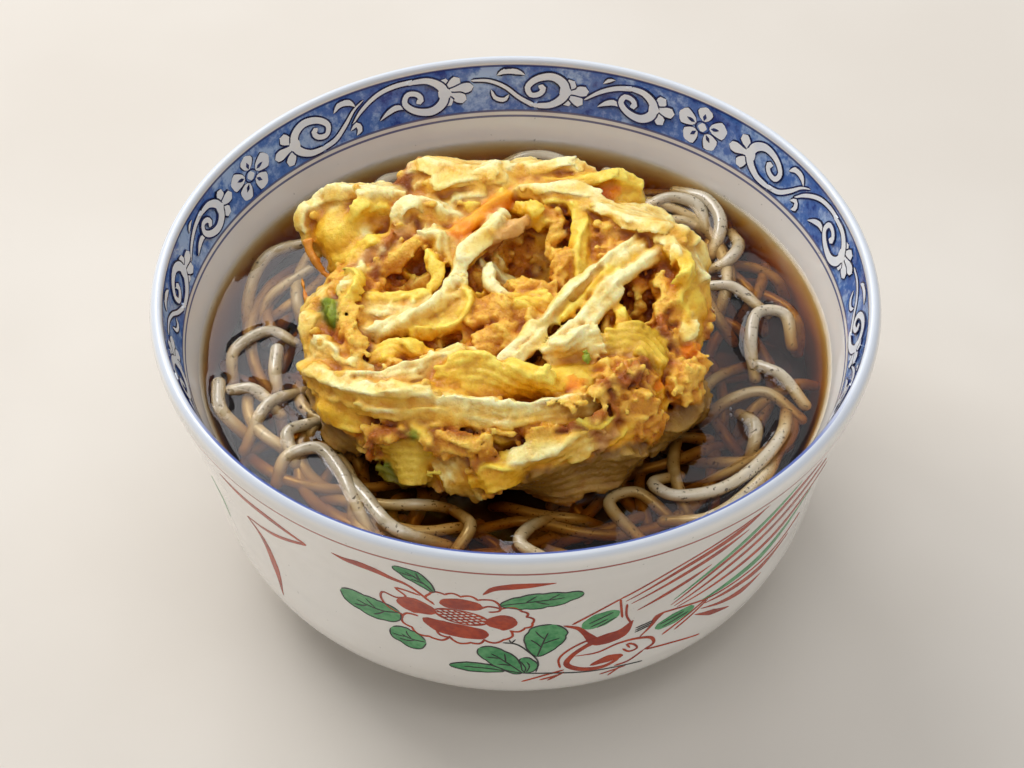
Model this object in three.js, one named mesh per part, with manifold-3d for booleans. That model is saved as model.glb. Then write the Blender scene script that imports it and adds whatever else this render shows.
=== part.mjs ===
// Bowl of hot soba topped with a kakiage, a fritter of shredded vegetables.
// Millimetres, +Z up. The origin is the centre of the foot ring's flat underside.
import * as THREE from "three";
import { mergeVertices } from "three/addons/utils/BufferGeometryUtils.js";
import Module from "manifold-3d";

const wasm = await Module();
wasm.setup();

// ---- driving dimensions ----
const BOWL_HEIGHT = 80;
const RIM_RADIUS = 84;
const FOOT_RADIUS = 38;
const FOOT_INNER_RADIUS = 33;
const FOOT_RECESS = 6;
const FLOOR_TOP = 14;
const BOWL_SIDES = 44;

const BROTH_LEVEL = 59.1;
const BROTH_BOTTOM = 25;
const GAP = 0.32;

const NOODLE_DIAMETER = 3.2;
const NOODLE_SIDES = 6;
const CHANNEL_SIDES = 4;
const CHANNEL_OVERRUN = 1.2;
const CHANNEL_ROOM = 1.6;
const NOODLE_STEP = 5.8;
const HEAP_TOP = 52.5;
const END_HEIGHT = 51;
const HEAP_SIDES = 28;

const FRITTER_CENTRE = new THREE.Vector3(-2, -5, 66);
const FRITTER_BOTTOM = 53;
const FRITTER_SIDES = 36;
const STRIP_SIDES = 6;
const STRIP_STEP = 9;
const UP = new THREE.Vector3(0, 0, 1);

// ---- joining and cutting closed meshes ----
function solidOf(geometry) {
  const bare = geometry.clone();
  bare.deleteAttribute("normal");
  bare.deleteAttribute("uv");
  const welded = mergeVertices(bare, 1e-4);
  const mesh = new wasm.Mesh({
    numProp: 3,
    vertProperties: new Float32Array(welded.attributes.position.array),
    triVerts: new Uint32Array(welded.index.array),
  });
  return new wasm.Manifold(mesh);
}

function geometryOf(solid) {
  const mesh = solid.getMesh();
  const geometry = new THREE.BufferGeometry();
  geometry.setAttribute("position", new THREE.BufferAttribute(mesh.vertProperties, 3));
  geometry.setIndex(new THREE.BufferAttribute(mesh.triVerts, 1));
  return geometry;
}

const joined = (solids) => solids.reduce((whole, piece) => whole.add(piece));

// The outer shell of the largest body: loose scraps go, and sealed hollows are filled.
function wholeBody(solid) {
  const bodies = solid.decompose();
  return bodies.reduce((largest, body) => (body.volume() > largest.volume() ? body : largest));
}

function randomSource(seed) {
  let state = seed;
  return () => {
    state = (state * 1664525 + 1013904223) % 4294967296;
    return state / 4294967296;
  };
}

// A lathe about +Z from [radius, z] pairs, with an optional change to each vertex.
function lathe(profile, sides, reshape) {
  const points = profile.map(([radius, z]) => new THREE.Vector2(radius, z));
  const geometry = new THREE.LatheGeometry(points, sides);
  geometry.rotateX(Math.PI / 2);
  if (reshape) {
    reshapeVertices(geometry, reshape);
  }
  return solidOf(geometry);
}

function reshapeVertices(geometry, reshape) {
  const position = geometry.attributes.position;
  const vertex = new THREE.Vector3();
  for (let i = 0; i < position.count; i += 1) {
    vertex.fromBufferAttribute(position, i);
    reshape(vertex);
    position.setXYZ(i, vertex.x, vertex.y, vertex.z);
  }
}

// A round-ended bar of oval section bent along a smooth path. Its flat side faces outward(point).
function bentBar({
  path, width, thickness, sides, step, grow = 0, turn = 0, round, capSteps = 2, outward = () => UP,
}) {
  const curve = new THREE.CatmullRomCurve3(path.map((p) => new THREE.Vector3(...p)), false, "centripetal");
  const length = curve.getLength();
  const radius = (round ?? Math.min(width, thickness)) / 2;
  const straight = length / radius - 2;
  const steps = Math.max(2, Math.round(length / step));
  const bar = new THREE.CapsuleGeometry(1, straight, capSteps, sides, steps);
  bar.rotateY(turn);
  const stretch = (length + 2 * grow) / length;
  reshapeVertices(bar, (vertex) => {
    const along = (vertex.y + straight / 2 + 1) * radius * stretch - grow;
    const share = Math.min(Math.max(along / length, 0), 1);
    const tangent = curve.getTangentAt(share);
    const point = curve.getPointAt(share).addScaledVector(tangent, along - share * length);
    const side = tangent.clone().cross(outward(point)).normalize();
    const lift = side.clone().cross(tangent);
    const across = vertex.x * (width / 2 + grow);
    const through = vertex.z * (thickness / 2 + grow);
    vertex.copy(point).addScaledVector(side, across).addScaledVector(lift, through);
  });
  return solidOf(bar);
}

// ---- bowl: one lathe from the foot's recess round the lip to the floor inside ----
const outerWall = [
  [FOOT_RADIUS, 0], [FOOT_RADIUS + 0.8, 8], [60, 10.5], [68, 16], [71.8, 24],
  [74.2, 36], [77.3, 52], [79.5, 60], [82.3, 70], [RIM_RADIUS, 76.8],
];
const lip = [[83.9, 78.4], [82.8, 79.8], [81.8, BOWL_HEIGHT], [81.2, 79.2]];
const innerWall = [
  [80.9, 77.4], [77.4, 66.6], [74.2, 59.3], [71.2, 48], [68, 36], [63, 24], [54, 17], [40, FLOOR_TOP + 0.4],
];

function makeBowl() {
  return lathe(
    [[0, FOOT_RECESS], [FOOT_INNER_RADIUS, FOOT_RECESS], [FOOT_INNER_RADIUS, 0],
      ...outerWall, ...lip, ...innerWall, [0, FLOOR_TOP]],
    BOWL_SIDES,
  );
}

// Radius of the inner wall at a height, from the same profile.
function innerRadius(z) {
  const rising = [...innerWall].reverse();
  const next = Math.max(1, rising.findIndex((point) => point[1] >= z));
  const [r0, z0] = rising[next - 1];
  const [r1, z1] = rising[next];
  return r0 + ((r1 - r0) * (z - z0)) / (z1 - z0);
}

// ---- noodles: a low heap, highest under the fritter, with the strands that show laid over it ----
const strands = [
  [[-63, 6, 53], [-64, 20, 56], [-60, 33, 57.5], [-50, 38, 57.5]],
  [[-66, -9, 55], [-66, 0, 58], [-58, 6, 58.6], [-52, 3, 57]],
  [[-56, 0, 58.6], [-56, -8, 57.5], [-54, -17, 53]],
  [[-69, -11, 58.2], [-68, -19, 58], [-61, -26, 54]],
  [[-66, -13, 57.8], [-61, -13, 58.6], [-54, -20, 56]],
  [[-49, -12, 56], [-57, -18, 58.8], [-62, -30, 54]],
  [[-50, -35, 56], [-52, -27, 58.8], [-46, -23, 57.2]],
  [[-54, -40, 54], [-52, -34, 57.5], [-45, -32, 58.9], [-40, -38, 58.9], [-35, -50, 57.5], [-31, -58, 54]],
  [[-40, -37, 56.5], [-34, -46, 58.4], [-27, -56, 58.7], [-15, -59, 54.5]],
  [[9, -50, 54], [3, -55, 57], [1, -60, 58], [8, -65, 57]],
  [[30, -60, 54], [21, -47, 56.8], [27, -44, 56.5], [37, -53, 53]],
  [[37, -38, 54.5], [31, -42, 57.5], [35, -46, 58.4], [45, -45, 58.9], [54, -38, 58.9], [61, -27, 58],
    [63, -16, 54]],
  [[33, -52, 55], [44, -52, 57.6], [56, -40, 57.6], [60, -30, 54]],
  [[31, 50, 56.5], [38, 53, 58.8], [45, 50, 58.8], [47, 43, 56.5]],
  [[40, 57, 56.5], [47, 52.5, 59.2], [50.5, 44, 59], [48, 34, 56]],
  [[53, 42, 56], [54.5, 36, 58], [51, 30, 58], [45, 28, 55.5]],
  [[45, 22, 57.5], [52, 21, 58.9], [60, 13, 56.5]],
  [[56, -8, 56], [55.5, 3, 58.9], [58, 12, 59.2], [64, 12, 58.4], [65.5, 3, 55]],
  [[57, -5, 58], [62, -9, 58.9], [67, -17, 56.5]],
  [[-6, 66, 54.5], [3, 69, 58.3], [12, 67, 58.3], [18, 61, 55]],
];

function makeHeap(grow) {
  const wallGap = 0.5 - grow;
  const profile = [
    [0, FLOOR_TOP + 0.4 - grow],
    [38, FLOOR_TOP + 0.9 - grow],
    [innerRadius(20) - wallGap, 20],
    [innerRadius(BROTH_BOTTOM) - wallGap, BROTH_BOTTOM],
    [innerRadius(30) - 3 + grow, 30],
    [innerRadius(46) - 1.6 + grow, 46 + grow],
    [66 + grow, 51.4 + grow],
    [50, HEAP_TOP + 0.8 + grow],
    [34, HEAP_TOP + grow],
    [0, HEAP_TOP + grow],
  ];
  const uneven = (vertex) => {
    const radius = Math.hypot(vertex.x, vertex.y);
    if (vertex.z > 45 && radius > 40) {
      const angle = Math.atan2(vertex.y, vertex.x);
      vertex.z += 0.8 * Math.sin(8 * angle) * Math.sin(radius / 4);
    }
  };
  return lathe(profile, HEAP_SIDES, uneven);
}

// A strand's two ends dive into the heap.
function sunkAtEnds(path) {
  return path.map(([x, y, z], i) => [x, y, i === 0 || i === path.length - 1 ? Math.min(z, END_HEIGHT) : z]);
}

function makeNoodles() {
  const bars = strands.map((path) => bentBar({
    path: sunkAtEnds(path),
    width: NOODLE_DIAMETER,
    thickness: NOODLE_DIAMETER,
    sides: NOODLE_SIDES,
    step: NOODLE_STEP,
  }));
  return wholeBody(joined([makeHeap(0), ...bars]));
}

// The room that the noodles take in the broth: a square channel round each strand.
function makeNoodleRoom() {
  const acrossCorners = (NOODLE_DIAMETER + CHANNEL_ROOM) * Math.SQRT2;
  const channels = strands.map((path) => bentBar({
    path: sunkAtEnds(path),
    width: acrossCorners - 2 * CHANNEL_OVERRUN,
    thickness: acrossCorners - 2 * CHANNEL_OVERRUN,
    grow: CHANNEL_OVERRUN,
    sides: CHANNEL_SIDES,
    step: NOODLE_STEP,
    turn: Math.PI / 4,
    round: NOODLE_DIAMETER,
    capSteps: 1,
  }));
  return joined([makeHeap(GAP), ...channels]);
}

// ---- fritter: an uneven puck with hollows in its top, and the fried strips that lie over it ----
const TOP_HEIGHT = 76;
const TOP_TILT = 0.1;
const CRUST_RISE = 1.5;
const CRUST_RADIUS = 33;
const CRUST_WIDTH = 8;
// Each hollow: centre x, y, half width, half depth front to back, drop.
const hollows = [
  [2, 12, 12, 8, 8],
  [-23, 6, 8, 8, 5],
  [28, -2, 7, 9, 5],
  [-18, -17, 11, 4, 3.5],
];

const ovalLobes = (angle) => (
  1.2 * Math.sin(2 * angle + 0.6) + 0.9 * Math.sin(5 * angle) + 0.7 * Math.sin(9 * angle + 2)
);
const crags = (x, y) => Math.sin(x / 2.3 + 1) * Math.sin(y / 2.9) + 0.6 * Math.sin(x / 1.7 - y / 2.1);

// Height of the fritter's bare top above the table.
function topHeight(x, y) {
  const radius = Math.hypot(x - FRITTER_CENTRE.x, y - FRITTER_CENTRE.y);
  const ring = CRUST_RISE * Math.exp(-(((radius - CRUST_RADIUS) / CRUST_WIDTH) ** 2));
  const dips = hollows.map(([hx, hy, halfX, halfY, drop]) => (
    drop * Math.exp(-(((x - hx) / halfX) ** 2) - ((y - hy) / halfY) ** 2)
  ));
  const drop = dips.reduce((sum, dip) => sum + dip);
  return TOP_HEIGHT + TOP_TILT * (y - FRITTER_CENTRE.y) + ring - drop + 0.6 * crags(x, y);
}

function makeFritterCore(grow) {
  const side = [[0, 0], [29, 0], [36.5, 0.17], [40.5, 0.4], [41.7, 0.66], [41, 0.84], [38, 0.97]];
  const top = [[31, 1], [24, 1], [17, 1], [11, 1], [5, 1], [0, 1]];
  return lathe([...side, ...top], FRITTER_SIDES, (vertex) => {
    const share = vertex.z;
    const radius = Math.hypot(vertex.x, vertex.y);
    const angle = Math.atan2(vertex.y, vertex.x);
    const outer = Math.min(radius / 40, 1) ** 2;
    const relief = 1.1 * crags(vertex.x, vertex.y + 9 * share) * share;
    const swell = radius < 1e-3 ? 1 : 1 + ((ovalLobes(angle) + relief) * outer + grow) / radius;
    vertex.x = vertex.x * swell + FRITTER_CENTRE.x;
    vertex.y = vertex.y * swell + FRITTER_CENTRE.y;
    const height = topHeight(vertex.x, vertex.y) - FRITTER_BOTTOM;
    vertex.z = FRITTER_BOTTOM + share * height + (share < 0.5 ? -grow : grow);
  });
}

// Each strip: width, thickness, path. They run from the back left round to the right.
const strips = [
  { width: 13, thickness: 4, path: [[-43, 20, 66], [-43, 27, 73], [-38, 31, 78], [-28, 29, 79]] },
  { width: 8, thickness: 4, path: [[-38, 18, 72], [-34, 25, 77], [-26, 25, 79]] },
  { width: 6, thickness: 3.4, path: [[-28, 27, 78], [-25, 35, 80], [-19, 38, 81]] },
  { width: 8, thickness: 4.5, path: [[-24, 36, 79], [-13, 37, 81], [-2, 38, 82], [7, 37, 81]] },
  { width: 7, thickness: 4, path: [[5, 34, 81], [15, 34, 82.5], [24, 33, 80]] },
  { width: 8, thickness: 4, path: [[-24, 29, 79], [-13, 31, 80.5], [-2, 31, 81]] },
  { width: 4.5, thickness: 4, path: [[-39, 8, 75], [-31, 15, 77], [-22, 20, 78.5], [-14, 27, 80]] },
  { width: 3.4, thickness: 3, path: [[-15, 15, 78], [-9, 21, 79.5], [-1, 28, 81]] },
  {
    width: 6,
    thickness: 5,
    path: [[-3, 20, 80], [-9, 13, 79.5], [-15, 3, 78.5], [-21, -4, 77], [-36, -4, 76]],
  },
  { width: 5, thickness: 4, path: [[-11, 1, 77], [-16, -8, 76.5], [-25, -11, 76], [-36, -10, 75.5]] },
  { width: 9, thickness: 4.5, path: [[-38, 9, 75], [-42, 1, 74.5], [-42.5, -8, 73.5], [-39, -16, 73]] },
  {
    width: 6,
    thickness: 5,
    path: [[-44, -17, 69], [-37, -26, 73.5], [-20, -34, 75], [0, -38, 75], [17, -33, 74.5]],
  },
  { width: 10, thickness: 4.5, path: [[-26, -26, 75], [-12, -25, 76.5], [2, -27, 76.5], [13, -28, 74]] },
  { width: 9, thickness: 4, path: [[-44, -22, 66], [-38, -31, 66], [-30, -38, 66]] },
  { width: 12, thickness: 4, path: [[-29, -39, 66], [-21, -43, 66], [-14, -45, 67]] },
  { width: 8, thickness: 4, path: [[-14, -42, 71], [-12, -47, 66], [-8, -47, 59]] },
  { width: 5.5, thickness: 5, path: [[-7, -48, 68], [1, -47.5, 70], [10, -46, 70], [18, -42, 69]] },
  { width: 8, thickness: 5, path: [[-1, -47, 61], [10, -46, 61], [20, -42, 62], [28, -35, 63]] },
  { width: 10, thickness: 6, path: [[22, -35, 72], [28, -36, 69], [31, -35, 64]] },
  { width: 5.5, thickness: 3.4, path: [[26, 12, 80.5], [18, -1, 79], [11, -8, 78.5], [-2, -22, 76]] },
  { width: 4.5, thickness: 3.4, path: [[33, 10, 80], [24, 0, 78.5], [18, -8, 78], [8, -21, 75.5]] },
  { width: 11, thickness: 4, path: [[18, 24, 80], [28, 19, 80], [35, 14, 79.5]] },
  { width: 13, thickness: 4.5, path: [[37, 15, 78], [40, 6, 76], [40, -5, 74], [37, -12, 72]] },
  { width: 9, thickness: 5, path: [[39, -11, 71], [38, -19, 69], [33, -28, 66]] },
  { width: 4.5, thickness: 4, path: [[4, 28, 80], [12, 25, 80.5], [17, 16, 79.5], [16, 4, 77]] },
  { width: 8, thickness: 5, path: [[-4, -5, 76], [3, -4, 77], [10, -7, 77]] },
  { width: 2, thickness: 1.8, path: [[-50, 14, 72], [-47, 5, 71], [-42, -3, 70]] },
  { width: 2.6, thickness: 2.2, path: [[-47, 19, 74], [-43, 14, 73], [-37, 9, 72]] },
];

// Small lumps of browned batter, scattered over the crust by a seeded draw.
const CRUMB_COUNT = 9;

function makeCrumbs(grow) {
  const random = randomSource(7);
  const crumbs = [];
  for (let i = 0; i < CRUMB_COUNT; i += 1) {
    const angle = (i + random()) * ((2 * Math.PI) / CRUMB_COUNT);
    const reach = 14 + 25 * random();
    const size = 2.2 + 2 * random();
    const x = FRITTER_CENTRE.x + reach * Math.cos(angle);
    const y = FRITTER_CENTRE.y + reach * Math.sin(angle);
    const crumb = new THREE.IcosahedronGeometry(size + grow, 1);
    crumb.scale(1, 1, 0.75);
    crumb.rotateZ(3 * random());
    crumb.translate(x, y, topHeight(x, y));
    crumbs.push(solidOf(crumb));
  }
  return crumbs;
}

function makeFritter(grow = 0) {
  const outward = (point) => point.clone().sub(FRITTER_CENTRE).normalize();
  const bars = strips.map((strip) => bentBar({
    ...strip,
    sides: STRIP_SIDES,
    step: STRIP_STEP,
    capSteps: 1,
    grow,
    outward,
  }));
  return wholeBody(joined([makeFritterCore(grow), ...bars, ...makeCrumbs(grow)]));
}

// ---- broth: up to its level, round the noodles and the fritter ----
function makeBroth() {
  const heights = [BROTH_BOTTOM + 1, 36, 48, BROTH_LEVEL];
  const wall = heights.map((z) => [innerRadius(z) - GAP, z]);
  const pool = lathe([[0, BROTH_BOTTOM + 1], ...wall, [0, BROTH_LEVEL]], BOWL_SIDES);
  return wholeBody(pool.subtract(makeNoodleRoom()).subtract(makeFritter(GAP)));
}

// ---- scene ----
function named(name, solid, color, roughness) {
  const material = new THREE.MeshStandardMaterial({ color, roughness, metalness: 0 });
  const mesh = new THREE.Mesh(geometryOf(solid), material);
  mesh.name = name;
  return mesh;
}

const group = new THREE.Group();
group.add(
  named("bowl", makeBowl(), 0xe9e8e4, 0.15),
  named("noodles", makeNoodles(), 0xb9a284, 0.35),
  named("broth", makeBroth(), 0x5a3318, 0.05),
  named("kakiage", makeFritter(), 0xe3ac4c, 0.5),
);

export default group;
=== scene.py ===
import math

import bpy
import numpy as np
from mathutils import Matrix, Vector


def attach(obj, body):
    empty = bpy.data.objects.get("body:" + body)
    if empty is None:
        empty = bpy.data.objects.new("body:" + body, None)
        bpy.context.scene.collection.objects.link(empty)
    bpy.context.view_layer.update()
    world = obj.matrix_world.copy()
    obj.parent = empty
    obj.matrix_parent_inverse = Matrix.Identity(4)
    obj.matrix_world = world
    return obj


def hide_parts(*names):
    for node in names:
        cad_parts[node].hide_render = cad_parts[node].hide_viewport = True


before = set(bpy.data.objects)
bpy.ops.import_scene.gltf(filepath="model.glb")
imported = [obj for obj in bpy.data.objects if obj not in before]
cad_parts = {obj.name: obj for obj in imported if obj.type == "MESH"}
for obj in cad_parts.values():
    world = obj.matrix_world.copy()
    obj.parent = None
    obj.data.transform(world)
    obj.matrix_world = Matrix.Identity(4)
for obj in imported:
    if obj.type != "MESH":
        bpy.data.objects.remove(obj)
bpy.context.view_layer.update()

MM = 0.001
ROOT = "root"

# ---- sizes in millimetres, as in the part ----
BROTH_LEVEL = 59.1
NOODLE_DIAMETER = 3.2
FRITTER_CENTRE = np.array([-2.0, -5.0, 66.0])
FRITTER_BOTTOM = 53.0


# =====================================================================================
# Small helpers
# =====================================================================================
def node_mesh(name, points, faces, smooth=True):
    """A mesh object from points in millimetres and an (n, 3) or (n, 4) array of corners."""
    points = np.ascontiguousarray(points, dtype=np.float32) * MM
    faces = np.ascontiguousarray(faces, dtype=np.int32)
    mesh = bpy.data.meshes.new(name)
    mesh.vertices.add(len(points))
    mesh.vertices.foreach_set("co", points.ravel())
    mesh.loops.add(faces.size)
    mesh.loops.foreach_set("vertex_index", faces.ravel())
    mesh.polygons.add(len(faces))
    mesh.polygons.foreach_set("loop_start", np.arange(0, faces.size, faces.shape[1], dtype=np.int32))
    mesh.polygons.foreach_set("use_smooth", np.full(len(faces), smooth))
    mesh.update(calc_edges=True)
    mesh.validate()
    piece = bpy.data.objects.new(name, mesh)
    bpy.context.scene.collection.objects.link(piece)
    return piece


def set_colour(piece, name, channels):
    """A colour attribute of three or four channels."""
    values = np.ones((len(channels), 4), np.float32)
    values[:, :channels.shape[1]] = channels
    layer = piece.data.color_attributes.new(name, "FLOAT_COLOR", "POINT")
    layer.data.foreach_set("color", values.ravel())


def place(piece, material, slot, *nodes):
    """Gives a piece its material and its body, and hides the nodes that it stands for. The slot is not used.
    """
    piece.data.materials.append(material)
    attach(piece, ROOT)
    if nodes:
        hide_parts(*nodes)


def linear(r, g, b):
    """Linear colour of an sRGB colour given in 0 to 255."""
    value = np.array([r, g, b]) / 255
    return np.where(value <= 0.04045, value / 12.92, ((value + 0.055) / 1.055) ** 2.4)


def unit(v):
    return v / np.maximum(np.linalg.norm(v, axis=-1, keepdims=True), 1e-9)


def tangents(line):
    return unit(np.gradient(line, axis=0))


def turned(radius, azimuth, z):
    """Points at a radius, an azimuth and a height."""
    return np.stack(np.broadcast_arrays(radius * np.cos(azimuth), radius * np.sin(azimuth), z), -1)


def run_along(line):
    """Length along a line, up to each of its points."""
    return np.r_[0, np.cumsum(np.linalg.norm(np.diff(line, axis=0), axis=1))]


def blend(a, b, start, end, t):
    """The point for t on a line that passes a at start and b at end."""
    return (end - t) / (end - start) * a + (t - start) / (end - start) * b


def spline(points, step):
    """Even steps along a centripetal Catmull-Rom curve through the points."""
    p = np.asarray(points, float)
    if len(p) == 2:
        count = max(2, int(np.linalg.norm(p[1] - p[0]) / step) + 1)
        return p[0] + np.linspace(0, 1, count)[:, None] * (p[1] - p[0])
    p = np.vstack([2 * p[0] - p[1], p, 2 * p[-1] - p[-2]])
    out = []
    for a, b, c, d in zip(p, p[1:], p[2:], p[3:]):
        t1 = max(np.linalg.norm(b - a), 1e-6) ** 0.5
        t2 = t1 + max(np.linalg.norm(c - b), 1e-6) ** 0.5
        t3 = t2 + max(np.linalg.norm(d - c), 1e-6) ** 0.5
        t = np.linspace(t1, t2, 24, endpoint=False)[:, None]
        first, second, third = blend(a, b, 0, t1, t), blend(b, c, t1, t2, t), blend(c, d, t2, t3, t)
        out.append(blend(blend(first, second, 0, t2, t), blend(second, third, t1, t3, t), t1, t2, t))
    fine = np.vstack(out + [p[-2][None]])
    run = run_along(fine)
    even = np.linspace(0, run[-1], max(3, int(run[-1] / step) + 1))
    return np.stack([np.interp(even, run, fine[:, i]) for i in range(fine.shape[1])], -1)


def skin(rings, ends=None):
    """Points and triangles of a closed body over rings of points. ends are the middles of its first and last
    ring, for fans about them; without them the two rings are shut flat."""
    rings = np.asarray(rings, float)
    count, sides = rings.shape[:2]
    here, following = np.arange(sides), np.roll(np.arange(sides), -1)
    rows = np.arange(count - 1)[:, None] * sides
    corners = [rows + here, rows + following, rows + sides + following, rows + sides + here]
    quads = np.stack(corners, -1).reshape(-1, 4)
    points = rings.reshape(-1, 3)
    total, last_row = len(points), (count - 1) * sides
    if ends is None:
        here, following = np.arange(1, sides - 1), np.arange(2, sides)
        first, last = np.zeros_like(here), np.full_like(here, last_row)
    else:
        points = np.vstack([points, ends])
        first, last = np.full(sides, total), np.full(sides, total + 1)
    bottom = np.stack([first, following, here], -1)
    top = np.stack([last, last_row + here, last_row + following], -1)
    return points, np.vstack([quads[:, [0, 1, 2]], quads[:, [0, 2, 3]], bottom, top])


def joined(parts):
    """Points and faces of several parts as those of one."""
    starts = np.cumsum([0] + [len(points) for points, _ in parts[:-1]])
    faces = [part[1] + start for part, start in zip(parts, starts)]
    return np.vstack([points for points, _ in parts]), np.vstack(faces)


def lattice_noise(shape, spacing, scale, seed):
    """Smooth noise of about -1 to 1 on a grid: random values a scale apart, blended along each axis."""
    random = np.random.default_rng(seed)
    cells = [int(n * spacing / scale) + 3 for n in shape]
    values = random.uniform(-1, 1, cells).astype(np.float32)
    for axis, count in enumerate(shape):
        at = np.arange(count) * spacing / scale
        low = at.astype(int)
        part = at - low
        part = (part * part * (3 - 2 * part)).astype(np.float32)
        part = part.reshape([-1 if i == axis else 1 for i in range(3)])
        values = values.take(low, axis) * (1 - part) + values.take(low + 1, axis) * part
    return values


# =====================================================================================
# Node material helpers
# =====================================================================================
class Nodes:
    """A short way to write a material's node tree."""

    def __init__(self, name):
        self.material = bpy.data.materials.new(name)
        self.material.use_nodes = True
        self.tree = self.material.node_tree
        self.tree.nodes.clear()
        self.output = self.tree.nodes.new("ShaderNodeOutputMaterial")

    def add(self, kind, inputs=None, **settings):
        node = self.tree.nodes.new("ShaderNode" + kind)
        for key, value in settings.items():
            setattr(node, key, value)
        for key, value in (inputs or {}).items():
            self.feed(node.inputs[key], value)
        return node

    def feed(self, socket, value):
        if isinstance(value, bpy.types.NodeSocket):
            self.tree.links.new(value, socket)
        elif isinstance(value, bpy.types.Node):
            self.tree.links.new(value.outputs[0], socket)
        elif hasattr(value, "__len__") and len(value) == 3 and socket.type == "RGBA":
            socket.default_value = (*value, 1)
        else:
            socket.default_value = value

    def maths(self, operation, a, b=0.0, c=0.0):
        return self.add("Math", {0: a, 1: b, 2: c}, operation=operation).outputs[0]

    def plus(self, a, b):
        return self.maths("ADD", a, b)

    def times(self, a, b):
        return self.maths("MULTIPLY", a, b)

    def grown(self, value, slope, base):
        """base, plus slope times the value."""
        return self.maths("MULTIPLY_ADD", value, slope, base)

    def rest(self, value):
        """What the value lacks of one."""
        return self.maths("SUBTRACT", 1.0, value)

    def mix(self, factor, a, b, blend_type="MIX"):
        node = self.add("Mix", data_type="RGBA", blend_type=blend_type)
        for socket, value in ((0, factor), (6, a), (7, b)):
            self.feed(node.inputs[socket], value)
        return node.outputs[2]

    def tinted(self, factor, colour, tint):
        """The colour, multiplied by the tint where the factor is one."""
        return self.mix(factor, colour, self.mix(1.0, colour, tint, "MULTIPLY"))

    def ramp(self, value, *stops):
        """A colour ramp with easing: stops of (position, sRGB colour in 0 to 255)."""
        node = self.add("ValToRGB", {0: value})
        ramp = node.color_ramp
        ramp.interpolation = "EASE"
        while len(ramp.elements) < len(stops):
            ramp.elements.new(1.0)
        for element, (position, colour) in zip(ramp.elements, stops):
            element.position = position
            element.color = (*linear(*colour), 1)
        return node.outputs[0]

    def step(self, value, low, high):
        """0 below low, 1 above high."""
        inputs = {0: value, 1: low, 2: high}
        return self.add("MapRange", inputs, interpolation_type="SMOOTHSTEP").outputs[0]

    def between(self, value, rise, fall):
        """1 in a band: it grows over the two values of rise and falls over those of fall."""
        return self.times(self.step(value, *rise), self.rest(self.step(value, *fall)))

    def noise(self, scale, detail=2.0, rough=0.5):
        inputs = {"Vector": self.add("TexCoord").outputs["Object"], "Scale": scale, "Detail": detail,
                  "Roughness": rough}
        return self.add("TexNoise", inputs).outputs[0]

    def bump(self, height, distance, strength=1.0):
        return self.add("Bump", {"Height": height, "Distance": distance, "Strength": strength}).outputs[0]

    def surface(self, shader):
        self.tree.links.new(shader.outputs[0], self.output.inputs["Surface"])
        return self.material

    def principled(self, inputs):
        """The finished material, with one principled shader."""
        return self.surface(self.add("BsdfPrincipled", inputs))


# =====================================================================================
# Camera, floor and lights
# =====================================================================================
CAMERA_PLACE = (-0.78, -477.4, 535.8)
CAMERA_TILT = 44.33
LENS = 100.88
FLOOR_CORNERS = [(-1500, -900, 0), (1500, -900, 0), (1500, 1500, 0), (-1500, 1500, 0)]
# Soft boxes: name, place, width and depth, brightness as a multiple of white, colour.
SOFTBOXES = [
    ("back_left_softbox", (-430, 1000, 1000), (640, 900), 4.4, (1.0, 0.99, 1.0)),
    ("back_right_softbox", (330, 1000, 1000), (430, 900), 1.3, (1.0, 0.99, 1.0)),
    ("left_key", (-700, 520, 950), (420, 420), 9.5, (1.0, 0.985, 0.96)),
    ("top_fill", (100, -350, 1200), (700, 500), 2.6, (1.0, 0.99, 0.98)),
]
LIGHT_TARGET = (0, 0, 60)
ROOM_COLOUR, ROOM_BRIGHTNESS = (0.97, 0.98, 1.0, 1), 0.5


def make_camera():
    data = bpy.data.cameras.new("camera")
    data.lens = LENS
    data.sensor_width = 36
    camera = bpy.data.objects.new("camera", data)
    camera.location = [v * MM for v in CAMERA_PLACE]
    camera.rotation_euler = (math.radians(CAMERA_TILT), 0, 0)
    bpy.context.scene.collection.objects.link(camera)
    bpy.context.scene.camera = camera


def make_softbox(name, place_mm, size_mm, brightness, colour):
    data = bpy.data.lights.new(name, "AREA")
    data.shape = "RECTANGLE"
    data.size, data.size_y = size_mm[0] * MM, size_mm[1] * MM
    data.energy = brightness * math.pi * data.size * data.size_y
    data.color = colour
    lamp = bpy.data.objects.new(name, data)
    lamp.location = [v * MM for v in place_mm]
    aim = Vector(LIGHT_TARGET) - Vector(place_mm)
    lamp.rotation_euler = aim.to_track_quat("-Z", "Y").to_euler()
    bpy.context.scene.collection.objects.link(lamp)


def make_stage():
    floor = node_mesh("floor", FLOOR_CORNERS, [(0, 1, 2, 3)])
    n = Nodes("floor")
    tone = n.ramp(n.noise(9.0, 3.0), (0.3, (212, 205, 195)), (0.7, (218, 212, 203)))
    floor.data.materials.append(n.principled({"Base Color": tone, "Roughness": 0.8}))
    for softbox in SOFTBOXES:
        make_softbox(*softbox)
    world = bpy.data.worlds.new("studio")
    world.use_nodes = True
    background = world.node_tree.nodes["Background"]
    background.inputs["Color"].default_value = ROOM_COLOUR
    background.inputs["Strength"].default_value = ROOM_BRIGHTNESS
    bpy.context.scene.world = world
    bpy.context.scene.view_settings.view_transform = "Standard"


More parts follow.
